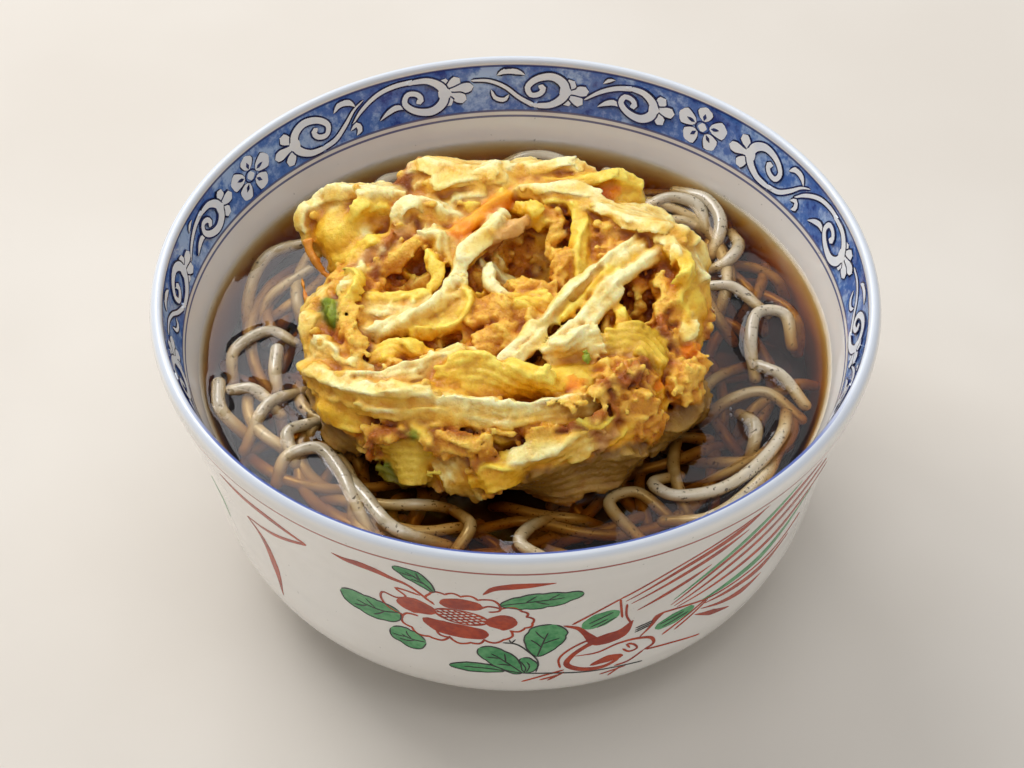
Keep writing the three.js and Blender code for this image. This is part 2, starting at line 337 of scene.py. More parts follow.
# =====================================================================================
# Bowl
# =====================================================================================
OUTER_WALL = [(38, 0), (38.8, 8), (60, 10.5), (68, 16), (71.8, 24), (74.2, 36), (77.3, 52), (79.5, 60),
              (82.3, 70), (84, 76.8)]
LIP = [(83.9, 78.4), (82.8, 79.8), (81.8, 80), (81.2, 79.2)]
INNER_WALL = [(80.9, 77.4), (77.4, 66.6), (74.2, 59.3), (71.2, 48), (68, 36), (63, 24), (54, 17), (40, 14.4)]
FOOT_ROUND = 0.5
BOWL_SIDES = 256

# ---- where the glaze changes, in metres as its nodes measure: from and to, of rise and of fall ----
LIP_START = (0.0782, 0.0795)
BAND_EDGES = (0.0666, 0.0669), (0.0781, 0.0784)
BAND_LINES = [(0.0651, 0.0655), (0.0664, 0.0668), (0.0779, 0.0784)]
LINE_SOFTNESS = 0.00012
LIP_EDGE = (0.0811, 0.0812), (0.0821, 0.0823)
LIP_EDGE_HEIGHT = (0.0786, 0.0788)
LIP_EDGE_FRONT = (0.03, 0.055)
RED_RING = (0.0748, 0.0749), (0.0755, 0.0756)
# A radius between the inner and the outer wall at the bottom, and its growth with height.
MIDWALL_RADIUS, MIDWALL_GROWTH = 0.0600, 0.2755


def inner_radius(z):
    radius, height = np.array(INNER_WALL[::-1]).T
    return np.interp(z, height, radius)


def wall_curve(points, step):
    """A smooth curve through (radius, height) points, in the plane y = 0."""
    return spline([(r, 0, z) for r, z in points], step)


OUTER_CURVE = wall_curve(OUTER_WALL, 0.5)
INNER_CURVE = wall_curve([LIP[-1], *INNER_WALL], 0.5)[::-1]


def bowl_profile():
    """Radius and height from the middle of the underside, round foot and lip, to the middle inside."""
    low = FOOT_ROUND
    foot = [(0, 6), (30, 6), (33, 6), (33, low), (33 + low, 0), (38 - low, 0)]
    outer = wall_curve([(38, low), (38.4, 6.2), (40.5, 8), (50, 9), *OUTER_WALL[2:], *LIP], 0.9)
    inner = wall_curve([LIP[-1], *INNER_WALL, (20, 14.05)], 1.2)
    return np.vstack([foot, outer[:, [0, 2]], inner[1:, [0, 2]], (0, 14)])


def glazed_porcelain():
    n = Nodes("glazed_porcelain")
    x, y, z = n.add("SeparateXYZ", {0: n.add("TexCoord").outputs["Object"]}).outputs
    radius = n.maths("SQRT", n.plus(n.times(x, x), n.times(y, y)))
    inside = n.maths("LESS_THAN", radius, n.plus(MIDWALL_RADIUS, n.times(z, MIDWALL_GROWTH)))
    cream = n.ramp(n.noise(28.0, 4.0, 0.6), (0.3, (231, 226, 218)), (0.7, (239, 235, 228)))
    glaze = n.mix(n.step(n.noise(900.0, 1.0), 0.76, 0.8), cream, linear(196, 192, 184))
    lip_white = n.step(z, *LIP_START)
    glaze = n.mix(lip_white, glaze, linear(214, 220, 229))
    # The watercolour blue band inside the lip, and its thin lines.
    wash = n.plus(n.times(n.noise(75.0, 5.0, 0.65), 0.7), n.times(n.noise(420.0, 3.0, 0.7), 0.3))
    blue = n.ramp(wash, (0.38, (34, 70, 150)), (0.48, (80, 122, 196)), (0.6, (172, 200, 240)))
    glaze = n.mix(n.times(n.between(z, *BAND_EDGES), inside), glaze, blue)
    for low, high in BAND_LINES:
        line = n.between(z, (low - LINE_SOFTNESS, low), (high, high + LINE_SOFTNESS))
        glaze = n.mix(n.times(n.times(line, inside), 0.85), glaze, linear(38, 58, 124))
    # The blue edge of the lip, which still shows at the front.
    front = n.step(n.times(y, -1.0), *LIP_EDGE_FRONT)
    edge = n.times(n.times(n.between(radius, *LIP_EDGE), front), n.step(z, *LIP_EDGE_HEIGHT))
    glaze = n.mix(edge, glaze, linear(62, 84, 156))
    # The thin red line outside, just below the lip.
    red = n.times(n.times(n.between(z, *RED_RING), n.rest(inside)), 0.95)
    return n.principled({
        "Base Color": n.mix(red, glaze, linear(150, 34, 4)), "Roughness": n.grown(lip_white, 0.22, 0.09),
        "Normal": n.bump(n.noise(140.0, 2.0), 0.00006), "Coat Weight": n.grown(lip_white, -0.45, 0.6),
        "Coat Roughness": 0.03, "Subsurface Weight": 0.08, "Subsurface Radius": (0.6, 0.5, 0.4),
        "Subsurface Scale": 0.002})


def make_bowl():
    profile = bowl_profile()
    angle = np.linspace(0, 2 * np.pi, BOWL_SIDES, endpoint=False)
    rings = turned(profile[1:-1, None, 0], angle, profile[1:-1, None, 1])
    ends = [[0, 0, profile[0, 1]], [0, 0, profile[-1, 1]]]
    place(node_mesh("porcelain_bowl", *skin(rings, ends)), glazed_porcelain(), "porcelain", "bowl")


# =====================================================================================
# Painted decoration: thin closed ribbons of enamel that follow the glaze
# =====================================================================================
BAND_LOW = 66.7
BAND_WIDTH = 11.4
BAND_SLOPE = 0.951
BAND_RADIUS = 79.0
FLOWER_AZIMUTH = 144.2
VINE_SHIFT = 2.2
FLOWER_STRETCH = 1.32
OUTLINE = 0.42
PAINT_FOOT = -0.08
LOWEST_LAYER = 0.04
LAYER_STEP = 0.012
HEART_LAYER, TOUCH_LAYER = 8, 9
OUTER_RADIUS = 80.0
LOBE_PITCH = 0.62
# Heights of the enamels above the outer glaze, and widths of its lines.
GREEN_LIFT, RED_LIFT, RED_LINE_LIFT, BLACK_LIFT = 0.05, 0.06, 0.08, 0.1
RED_WIDTH, BLACK_WIDTH, FINE_WIDTH = 0.6, 0.4, 0.36


def on_wall(curve, azimuth, z, lift):
    """Points on a turned wall, moved out from it by lift."""
    radius = np.interp(z, curve[:, 2], curve[:, 0])
    slope = (np.interp(z + 0.5, curve[:, 2], curve[:, 0]) - radius) / 0.5
    size = np.sqrt(1 + slope ** 2)
    return turned(radius + lift / size, azimuth, z - lift * slope / size)


def band_place(start):
    """Places of the inner band: u runs clockwise in mm from the start azimuth, v up the wall."""
    def to_wall(uv, lift):
        azimuth = math.radians(start) - uv[..., 0] / BAND_RADIUS
        return on_wall(INNER_CURVE, azimuth, BAND_LOW + BAND_SLOPE * uv[..., 1], -lift)
    return to_wall


def outer_place(uv, lift):
    """Places of the outer wall: u runs to the right of the front in mm, v is the height."""
    return on_wall(OUTER_CURVE, uv[..., 0] / OUTER_RADIUS - math.pi / 2, uv[..., 1], lift)


def beside(line):
    """Directions to the left of a flat line."""
    return tangents(line)[:, ::-1] * (-1, 1)


def stroke(points, widths, extra=0.0, step=0.7, lobes=0.0):
    """Even steps along a brush stroke and half its width at each, with rounded or pointed ends."""
    points = np.asarray(points, float)
    chord = run_along(points)
    line = spline(points, step)
    run = run_along(line)
    widths = np.broadcast_to(widths, len(points))
    half = np.interp(run / run[-1], chord / chord[-1], widths) / 2 + extra
    half = half * (1 - lobes * np.abs(np.cos(run * LOBE_PITCH)) ** 6)
    for end_run, end_half in ((run, half[0]), (run[-1] - run, half[-1])):
        share = np.clip(end_run / max(end_half, 0.2), 0.02, 1)
        half = half * np.sqrt(1 - (1 - share) ** 2)
    return line, np.maximum(half, 0.03)


def ribbon(points, widths, to_wall, lift, extra=0.0, step=0.7, lobes=0.0):
    """A closed flat bar of paint along a line on the wall."""
    line, half = stroke(points, widths, extra, step, lobes)
    normal = beside(line)[:, None]

    def row(shares, height):
        return to_wall(line[:, None] + normal * (half[:, None] * shares)[..., None], height)

    across = np.linspace(-1, 1, max(3, int(2 * half.max() / 1.3) + 2))
    return skin(np.concatenate([row(across, lift), row(np.array([1, -1]), PAINT_FOOT)], 1))


def painted(name, ribbons, material):
    """One piece of all the ribbons of a colour, turned so that their faces point out."""
    parts = []
    for points, faces in ribbons:
        a, b, c = (points[faces[:, i]] - points[0] for i in range(3))
        volume = np.einsum("ij,ij->i", a, np.cross(b, c)).sum()
        parts.append((points, faces if volume > 0 else faces[:, ::-1]))
    place(node_mesh(name, *joined(parts), smooth=False), material, "porcelain")


def enamel(name, dark, light, scale=160.0):
    """Glassy brushed colour, thicker and darker in places."""
    n = Nodes(name)
    wash = n.plus(n.times(n.noise(scale, 4.0, 0.6), 0.7), n.times(n.noise(scale * 5, 2.0), 0.3))
    return n.principled({
        "Base Color": n.ramp(wash, (0.36, dark), (0.64, light)), "Roughness": 0.24, "Specular IOR Level": 0.3,
        "Coat Weight": 0.15, "Coat Roughness": 0.05, "Normal": n.bump(n.noise(500.0, 2.0), 0.00003)})


# A curl of the vine, 12 mm long, with the widths of its line, and its leaf.
CURL = [(3, 10.4), (7.5, 9.8), (10.8, 7), (10.6, 3.7), (7.5, 1.7), (3, 2.7), (0.7, 5.2), (1.7, 7.3),
        (4.2, 6.8), (5, 5.2), (3.7, 4.6)]
CURL_WIDTHS = [1.2, 1.6, 2.2, 2.3, 2.0, 1.6, 1.4, 1.3, 1.3, 1.4, 1.8]
CURL_LEAF = [(1, 3.8), (-1.5, 4.6), (-3.6, 4.0), (-6.4, 2.4)]
# Sprigs at the root of a curl: the heading and the reach of each lobe.
LOBE_ROOT = np.array([10.4, 5.8])
LOBE_SHARES, LOBE_WIDTHS = (0, 0.4, 0.68, 0.88, 1.0), [1.2, 1.6, 2.7, 2.5, 0.7]
FIVE_LOBES = [(72, 4.2), (38, 6.0), (8, 8.2), (-20, 6.6), (-56, 4.0)]
FOUR_LOBES = [(64, 4.4), (28, 6.4), (-8, 7.2), (-48, 4.6)]
THREE_LOBES = [(48, 5.8), (4, 7.4), (-42, 5.8)]
# White patches without an outline, where the lobes and the vine join the curl.
PATCHES = [([(9.6, 6.6), (10.9, 5.8), (12.9, 5.8)], [1.6, 3.3, 2.2], 0),
           ([(1.8, 10.1), (3.2, 10.3), (4.6, 10.2)], [0.9, 1.1, 1.1], 0)]
VINES = [
    ([(20.5, 1.0), (24.5, 1.8), (28, 4.4), (31, 7.4), (34, 9.2)], [1.2, 1.2, 1.0, 0.6, 0.2]),
    ([(29.5, 3.4), (33, 6.6), (38, 9.4), (43, 10.4), (48, 10.3)], [0.2, 0.9, 1.1, 1.2, 1.3]),
    ([(25.5, 8.6), (27.5, 10.2), (30, 9.8), (31.5, 8.2)], [0.3, 1.6, 1.5, 0.2]),
    ([(29, 2.4), (31, 3.4), (31.6, 1.8), (30.4, 0.7)], [0.2, 1.3, 1.4, 0.2]),
    ([(61.5, 8.4), (66, 8.0), (70, 6.2), (73.5, 3.4), (77.5, 1.2)], [0.5, 0.8, 0.9, 1.0, 1.2]),
    ([(66.5, 5.6), (67.5, 3.4), (69.8, 2.8), (71, 4.2)], [0.4, 1.0, 1.1, 0.3]),
    ([(68, 9.4), (70, 10.5), (73, 10.3), (75, 9.5)], [0.3, 1.5, 1.4, 0.2]),
    ([(90, 4.0), (94, 6.8), (98, 8.6), (103, 9.6)], [0.4, 1.0, 1.2, 1.4]),
    ([(94.5, 9.2), (96, 10.4), (97.5, 10.8)], [0.3, 1.0, 0.2]),
]
# Curls of one repeat of the band: start, scale along and across, lobes, whether it has a leaf.
CURLS = [(24.0, -1.0, -1.0, THREE_LOBES, False), (43.6, 1.0, 1.0, FIVE_LOBES, True),
         (75.0, 0.92, -0.92, FOUR_LOBES, False), (99.0, 0.84, 0.84, THREE_LOBES, True)]


def scroll(start, along, across, lobes, leaf):
    """Strokes of one curl over its sprig of lobes, scaled and flipped: points, widths, outline."""
    out = []
    for angle, reach in lobes:
        heading = np.array([math.cos(math.radians(angle)), math.sin(math.radians(angle))])
        out.append(([LOBE_ROOT + heading * reach * share for share in LOBE_SHARES], LOBE_WIDTHS, OUTLINE))
    if leaf:
        out.append((CURL_LEAF, [0.4, 1.5, 1.3, 0.1], OUTLINE))
    out += [(CURL, CURL_WIDTHS, OUTLINE), *PATCHES]
    middle = BAND_WIDTH / 2
    return [(np.array([(start + along * u, middle + across * (v - middle)) for u, v in points]), widths,
             outline) for points, widths, outline in out]


def flower_strokes():
    """Petals and heart of a flower about (0, middle): white strokes, then navy touches on them."""
    centre = np.array([0, BAND_WIDTH / 2])

    def heading(angle):
        return np.array([FLOWER_STRETCH * math.cos(angle), math.sin(angle)])

    white, navy = [], []
    for k in range(5):
        along = heading(math.radians(90 + 72 * k))
        white.append(([centre + along * r for r in (1.5, 2.9, 4.3, 5.5)], [1.4, 3.4, 4.6, 3.6], OUTLINE))
        navy.append(([centre + along * r for r in (1.9, 2.8, 3.7)], [0.6, 1.0, 0.2]))
    navy.append(([centre + 1.5 * heading(angle) for angle in np.linspace(0, 2 * math.pi, 13)], 0.42))
    heart = ([centre - (1.2, 0), centre, centre + (1.2, 0)], [1.6, 2.5, 1.6])
    return white, heart, navy


def paint_band():
    white, navy, touches = [], [], []
    strokes, heart, marks = flower_strokes()
    vines = [(points, widths, OUTLINE) for points, widths in VINES]
    for curl in CURLS:
        vines += scroll(*curl)
    strokes += [(np.array(points) + (VINE_SHIFT, 0), widths, outline) for points, widths, outline in vines]
    for quarter in range(4):
        to_wall = band_place(FLOWER_AZIMUTH - 90.0 * quarter)
        for i, (points, widths, outline) in enumerate(strokes):
            layer = LOWEST_LAYER + LAYER_STEP * i
            if outline:
                navy.append(ribbon(points, widths, to_wall, layer, outline))
            white.append(ribbon(points, widths, to_wall, layer + LAYER_STEP / 2))
        white.append(ribbon(*heart, to_wall, LOWEST_LAYER + HEART_LAYER * LAYER_STEP))
        touches += [ribbon(*mark, to_wall, LOWEST_LAYER + TOUCH_LAYER * LAYER_STEP) for mark in marks]
    painted("band_outlines", navy, enamel("navy_outline", (14, 22, 56), (36, 50, 104)))
    painted("band_scrolls", white, enamel("white_reserve", (236, 244, 255), (250, 253, 255), 60.0))
    painted("band_touches", touches, enamel("navy_touch", (24, 34, 80), (56, 74, 130)))


# ---- the flowering branch and the bird outside: points in mm right of the front and up, and widths ----
RED_FILLS = [
    ([(-40.5, 68.5), (-37.5, 67.8), (-34, 68), (-30.5, 67.5), (-27, 66), (-23.5, 64.5), (-18, 57)],
     [0.3, 1.6, 2.6, 2.3, 1.5, 0.9, 0.5]),
    ([(-7, 65), (-4.5, 68.2), (-0.5, 69.5), (3, 70), (8.5, 70.6)], [0.3, 1.8, 2.6, 2.1, 0.2]),
    ([(-27.2, 54.4), (-23, 54.6), (-18, 53)], [4.6, 7.6, 3.0]),
    ([(-16.8, 58.4), (-12, 59.2), (-7.2, 58.6)], [4.0, 5.6, 3.6]),
    ([(-7, 51), (-3, 51.6), (0.4, 51.2)], [2.4, 7.4, 6.0]),
    ([(-21.5, 49.4), (-17.5, 47.2), (-12, 46.2), (-6.2, 45.6)], [2.2, 5.6, 5.8, 4.2]),
    ([(11, 49), (14.5, 47), (16.5, 44), (19, 39.5)], [0.6, 1.2, 1.6, 3.2]),
    ([(18, 39.5), (22, 40), (25.4, 41), (28, 45.5)], [3.2, 4.6, 4.0, 0.4]),
    ([(26, 29.5), (22, 27.4), (16, 28.3), (12.5, 31.4), (13.8, 35), (17, 38.4), (19.5, 40)],
     [1.0, 1.4, 1.6, 1.6, 1.4, 1.4, 2.2]),
    ([(18.5, 29.2), (23, 30.6), (27, 30.4)], [0.9, 3.0, 1.6]),
    ([(14.5, 34.5), (20, 34.5), (25, 36.5), (29.5, 36.5), (34, 34.5), (35, 31.5), (32.5, 30)],
     [0.2, 0.6, 0.7, 0.9, 1.0, 0.9, 0.6]),
    ([(30.5, 36.5), (33, 40), (34.5, 43.5), (36.5, 44.5)], [0.3, 0.9, 2.0, 0.4]),
    ([(25, 55.5), (37.5, 63.5), (50.5, 69), (57, 73)], [0.2, 1.6, 2.4, 0.2]),
    ([(26.5, 53.5), (38.5, 60), (47.5, 64), (54, 67)], [0.2, 1.6, 2.0, 0.2]),
    ([(28.5, 49.5), (35.5, 53), (41.5, 56), (46, 58.5)], [0.2, 1.4, 1.5, 0.2]),
    ([(37.5, 46.5), (49, 54.5), (60, 61), (69, 68), (76, 73)], [0.2, 1.4, 2.2, 2.4, 1.6]),
    ([(38.5, 45.5), (52, 51.5), (64, 56.5), (74, 63), (80, 69)], [0.2, 1.4, 2.2, 2.6, 1.6]),
    ([(39.5, 44.5), (56, 48), (70, 51), (80, 56), (86, 61)], [0.2, 1.4, 2.2, 2.4, 0.4]),
    ([(48, 39.8), (57.5, 38.5), (69, 38), (78.5, 41)], [0.2, 1.6, 2.6, 0.3]),
    ([(47.5, 38), (55, 35), (62.5, 33.5), (69.5, 34)], [0.2, 1.3, 2.4, 0.3]),
    ([(46, 36.5), (52, 33), (58.5, 30)], [0.2, 2.0, 0.3]),
    ([(-72.5, 71), (-67, 69.5), (-57, 68.5), (-47.5, 66)], [0.3, 1.8, 2.2, 0.8]),
    ([(-69, 57.5), (-66, 51), (-65, 41), (-66, 28)], [0.4, 1.8, 2.6, 0.3]),
    ([(-69, 57.5), (-59, 60), (-47.5, 66)], [0.5, 1.4, 0.9]),
]
# The petals' edges as the points between their scallops, and how far each arc bulges to the left.
PETAL_EDGES = [
    ([(-18.2, 58), (-18.8, 62), (-15.2, 63.2), (-11.8, 63.1), (-8.2, 62.2), (-3.4, 59.6), (-6, 56.6)], 0.34),
    ([(-22.5, 49.8), (-26.6, 47.6), (-24.6, 44), (-20.6, 41.6), (-15.4, 43.4)], -0.3),
    ([(-18.5, 45.5), (-15.4, 42.8), (-10.6, 41.6), (-7.4, 43.4), (-2.8, 43.8), (-1.2, 48)], -0.3),
    ([(-8, 57.4), (-3.2, 58.4), (1.4, 57.2), (2.4, 54.4), (3.8, 51.2), (2.2, 49.2), (-1.4, 48)], 0.3),
]
RED_LINES = [
    [(-21, 60.5), (-24.5, 61.5), (-26.5, 61.5), (-24.5, 58.2), (-27, 56.5), (-30, 57.5), (-31, 53.5),
     (-29.5, 50.5), (-26, 48.5)],
    [(1.5, 24.5), (6.5, 27), (12, 29)], [(6, 25), (11, 27)], [(8, 24.5), (12, 28)],
    [(21.5, 23.5), (28.5, 25)], [(24, 21.5), (27, 25.5)],
    [(11, 30), (10.5, 34), (12.5, 37.5), (16.5, 40.5), (19.5, 41)],
    [(26.5, 33.5), (28.5, 31.4), (30.5, 31.8), (29.5, 34), (27.5, 35.2), (28.5, 33)],
    [(32.5, 30), (28.5, 27), (25, 26.5)], [(13, 49), (18, 53), (23.5, 57.5)], [(23.5, 57.5), (25, 48)],
    [(25.5, 54), (26, 48.5), (27.5, 44.5)],
    [(35.5, 44.5), (41, 43.5), (49, 41.5), (60, 41), (72.5, 41.5), (82.5, 45)],
    [(37, 34), (43, 38), (49, 42)], [(40.5, 34), (44.5, 37), (49, 41)], [(33, 30), (41.5, 28), (50, 25)],
    [(23.5, 57.5), (37, 66), (54.5, 72.5), (58, 73.5)],
]
GREEN_FILLS = [
    ([(15.5, 46.8), (19.5, 49.2), (24, 51.4)], [3.4, 6.4, 3.8]),
    ([(34.5, 38.2), (39.5, 39.6), (45, 41)], [2.8, 5.0, 2.8]),
    ([(38, 48.5), (48, 56), (57, 63), (64, 68.5), (69, 73)], [0.2, 1.4, 2.2, 1.8, 0.2]),
    ([(46.5, 42), (55.5, 43), (66, 44.5), (74, 48), (83, 54)], [0.2, 2.0, 2.8, 2.4, 0.2]),
    ([(-91, 50), (-86.5, 46.5), (-85.5, 40.5)], [0.3, 1.0, 0.3]),
]
# Leaves: line from stem to tip, widths, depth of the notches between their lobes.
LEAVES = [
    ([(-17.6, 63.3), (-19.5, 67), (-22, 70), (-25.8, 72.2)], [0.8, 3.6, 5.2, 1.6], 0.04),
    ([(-27, 49.4), (-31.5, 47.8), (-37, 48.4), (-42, 50.6)], [4.6, 9.2, 8.8, 5.6], 0.12),
    ([(-21.6, 38.6), (-25.6, 38.6), (-30, 41.4)], [6.4, 8.6, 6.6], 0.16),
    ([(-3.4, 60.2), (1, 61.4), (6, 62.4), (10, 63), (14.6, 64.4)], [1.6, 6.8, 7.8, 6.0, 2.4], 0.14),
    ([(5.2, 36), (6.2, 41), (7.4, 46), (8.8, 50)], [1.6, 9, 10.4, 7.2], 0.12),
    ([(1.8, 28.8), (-1.5, 32.8), (-5, 36.6), (-8.6, 39.6)], [3.2, 6.4, 7.2, 4.2], 0.12),
    ([(2.6, 29), (3.4, 32), (1.6, 35.6)], [2.6, 4.2, 3.0], 0.1),
    ([(-2.5, 29.8), (-7, 30.6), (-12, 30.6), (-16.4, 30.2)], [0.8, 3.8, 4.0, 1.0], 0.05),
]
BLACK_LINES = [
    [(-3, 42.5), (0, 42), (3, 38.5), (5.5, 33.5), (5, 29)], [(-1.5, 44), (-1, 42.5), (0, 44)],
    [(-3.5, 30.5), (1, 29), (9.5, 28), (18, 26.5), (27, 25.5), (33, 24.5)], [(17.5, 46.8), (21.5, 49)],
    [(17, 48.4), (22.5, 51.6)], [(19, 46), (23.5, 49)], [(35.5, 39.5), (42, 41)], [(36.5, 37.8), (43.5, 40)],
    [(29, 41.5), (33.5, 42.5)], [(29, 40.5), (33.5, 41.7)], [(29, 39.6), (33, 40.8)],
]
HEART_CENTRE, HEART_HALF, HEART_TILT = np.array([-12.3, 52.8]), np.array([6.2, 3.1]), -0.22


def scalloped(points, bulge):
    """Arcs from each point to the next."""
    points = np.asarray(points, float)
    out = [points[0]]
    for start, end in zip(points[:-1], points[1:]):
        chord = end - start
        side = np.array([-chord[1], chord[0]]) * 4 * bulge
        out += [start + chord * t + side * t * (1 - t) for t in (0.12, 0.5, 0.88)] + [end]
    return out


def heart_lines():
    """The outline and the lattice of the flower's oval heart."""
    cos, sin = math.cos(HEART_TILT), math.sin(HEART_TILT)

    def out(unit_points):
        p = np.asarray(unit_points) * HEART_HALF
        return HEART_CENTRE + np.stack([p[:, 0] * cos - p[:, 1] * sin, p[:, 0] * sin + p[:, 1] * cos], -1)

    lines = [out([(math.cos(a), math.sin(a)) for a in np.linspace(0, 2 * math.pi, 17)])]
    for lean in (0.9, -0.9):
        for offset in np.linspace(-1.2, 1.2, 7):
            # Where the line x = offset + lean * y meets the unit circle.
            a, b, c = 1 + lean ** 2, 2 * offset * lean, offset ** 2 - 1
            spread = b * b - 4 * a * c
            if spread > 0.3:
                heights = [(-b + sign * math.sqrt(spread)) / (2 * a) for sign in (-1, 1)]
                lines.append(out([(offset + lean * y, y) for y in heights]))
    return lines


def leaf_lines(points, widths, notches):
    """Dark lines round a leaf, along its midrib and along its veins."""
    line, half = stroke(points, widths, lobes=notches)
    normal = beside(line)
    lines = [line + normal * half[:, None] * side for side in (-1, 1)]
    lines.append(line[: int(len(line) * 0.78)])
    if max(widths) > 5:
        for share, side in ((0.3, 1), (0.42, -1), (0.56, 1)):
            i = int(len(line) * share)
            ahead = min(i + 4, len(line) - 1)
            lines.append([line[i], (line[i] + line[ahead]) / 2 + normal[i] * side * half[i] * 0.35,
                          line[ahead] + normal[ahead] * side * half[ahead] * 0.68])
    return lines


def paint_outside():
    red = [ribbon(*fill, outer_place, RED_LIFT) for fill in RED_FILLS]
    red += [ribbon(line, RED_WIDTH, outer_place, RED_LINE_LIFT) for line in RED_LINES]
    red += [ribbon(scalloped(*edge), RED_WIDTH, outer_place, RED_LINE_LIFT, step=0.4) for edge in PETAL_EDGES]
    red += [ribbon(line, FINE_WIDTH, outer_place, RED_LINE_LIFT) for line in heart_lines()]
    green = [ribbon(*fill, outer_place, GREEN_LIFT) for fill in GREEN_FILLS]
    black = [ribbon(line, BLACK_WIDTH, outer_place, BLACK_LIFT) for line in BLACK_LINES]
    for points, widths, notches in LEAVES:
        green.append(ribbon(points, widths, outer_place, GREEN_LIFT, lobes=notches))
        edges = leaf_lines(points, widths, notches)
        black += [ribbon(line, FINE_WIDTH, outer_place, BLACK_LIFT) for line in edges]
    painted("wall_red", red, enamel("red_enamel", (146, 30, 0), (188, 62, 6)))
    painted("wall_green", green, enamel("green_enamel", (48, 136, 78), (96, 170, 110)))
    painted("wall_black", black, enamel("black_line", (20, 26, 24), (48, 54, 52)))


# =====================================================================================
# Noodles
# =====================================================================================
# Strands whose places show, each from end to end.
STRANDS = [
    [(-63, 6, 53), (-64, 20, 56), (-60, 33, 57.5), (-50, 38, 57.5)],
    [(-62, 9, 52), (-59, 19, 56), (-50, 28, 57.2)],
    [(-66, -9, 55), (-66, 0, 58), (-58, 6, 58.6), (-52, 3, 57)],
    [(-56, 0, 58.6), (-56, -8, 57.5), (-54, -17, 53)],
    [(-69, -11, 58.2), (-68, -19, 58), (-61, -26, 54)],
    [(-66, -13, 57.8), (-61, -13, 58.6), (-54, -20, 56)],
    [(-49, -12, 56), (-57, -18, 58.8), (-62, -30, 54)],
    [(-50, -35, 56), (-52, -27, 58.8), (-46, -23, 57.2)],
    [(-54, -40, 54), (-52, -34, 57.5), (-45, -32, 58.9), (-40, -38, 58.9), (-35, -50, 57.5), (-31, -58, 54)],
    [(-40, -37, 56.5), (-34, -46, 58.4), (-27, -56, 58.7), (-15, -59, 54.5)],
    [(-14, -48, 54), (-10, -54, 56.5), (-14, -62, 54.5)],
    [(-9, -53, 52), (2, -51.5, 54), (14, -55, 52)],
    [(9, -50, 54), (3, -55, 57), (1, -60, 58), (8, -65, 57)],
    [(30, -60, 54), (21, -47, 56.8), (27, -44, 56.5), (37, -53, 53)],
    [(37, -38, 54.5), (31, -42, 57.5), (35, -46, 58.4), (45, -45, 58.9), (54, -38, 58.9), (61, -27, 58),
     (63, -16, 54)],
    [(33, -52, 55), (44, -52, 57.6), (56, -40, 57.6), (60, -30, 54)],
    [(52, -19, 55), (55, -25, 58.2), (53, -35, 54)],
    [(43, -20, 53), (50, -15, 56.4), (58, -13, 57), (66, -20, 54)],
    [(31, 50, 56.5), (38, 53, 58.8), (45, 50, 58.8), (47, 43, 56.5)],
    [(40, 57, 56.5), (47, 52.5, 59.2), (50.5, 44, 59), (48, 34, 56)],
    [(53, 42, 56), (54.5, 36, 58), (51, 30, 58), (45, 28, 55.5)],
    [(45, 22, 57.5), (52, 21, 58.9), (60, 13, 56.5)],
    [(56, -8, 56), (55.5, 3, 58.9), (58, 12, 59.2), (64, 12, 58.4), (65.5, 3, 55)],
    [(57, -5, 58), (62, -9, 58.9), (67, -17, 56.5)],
    [(-6, 66, 54.5), (3, 69, 58.3), (12, 67, 58.3), (18, 61, 55)],
    [(23, 63, 58), (29, 58, 58.7), (32, 51, 56.5)],
    [(-36, 53, 55.5), (-33, 59, 58.7), (-26, 63, 57)],
]
NOODLE_SIDES = 12
NOODLE_STRIDE = 3.6
LOOSE_STRANDS, LOOSE_SEED, NOODLE_SEED = 95, 11, 5
# Ranges of the loose strands' places, heights, bends and numbers of steps.
LOOSE_RADIUS, LOOSE_HEIGHT, LOOSE_BEND, LOOSE_STEPS = (42, 67), (50.5, 57.0), (9, 42), (7, 22)
# Strands are paler above this height and browner to this depth below it, partly from soaking in the broth and
# partly as painted shade that deepens with depth.
PALE_HEIGHT, SOAK_AND_SHADE_DEPTH = 60.0, 5.5
# Radius and height of the heap under them, from the middle of its underside to the middle of its top.
HEAP_PROFILE = [(0, 14.4), (38, 14.9), (56, 20), (61.5, 25), (64.5, 30), (68.3, 42), (69, 46), (62, 48.5),
                (54, 49.5), (44, 50), (30, 51), (18, 51), (8, 51), (0, 51)]
HEAP_SIDES = 160
# The rounded end of a bar: distances past the end and widths, in radii.
BAR_END = [(-1.0, 0.02), (-0.85, 0.5), (-0.5, 0.86)]


def sweep(line, radius, sides):
    """Points and triangles of a round bar with rounded ends, of one radius or one for each point."""
    radius = np.broadcast_to(radius, len(line)).astype(float)
    tangent = tangents(line)
    normal = np.zeros_like(line)
    normal[0] = unit(np.cross(tangent[0], [0.3, 0.2, 1.0]))
    for i in range(1, len(line)):
        normal[i] = unit(normal[i - 1] - tangent[i] * (normal[i - 1] @ tangent[i]))
    other = np.cross(tangent, normal)
    start = [(line[0] + tangent[0] * radius[0] * a, radius[0] * b, 0) for a, b in BAR_END]
    end = [(line[-1] - tangent[-1] * radius[-1] * a, radius[-1] * b, -1) for a, b in BAR_END[::-1]]
    sections = start + [(p, r, i) for i, (p, r) in enumerate(zip(line, radius))] + end
    angle = np.linspace(0, 2 * np.pi, sides, endpoint=False)[:, None]
    return skin([c + r * (np.cos(angle) * normal[i] + np.sin(angle) * other[i]) for c, r, i in sections])


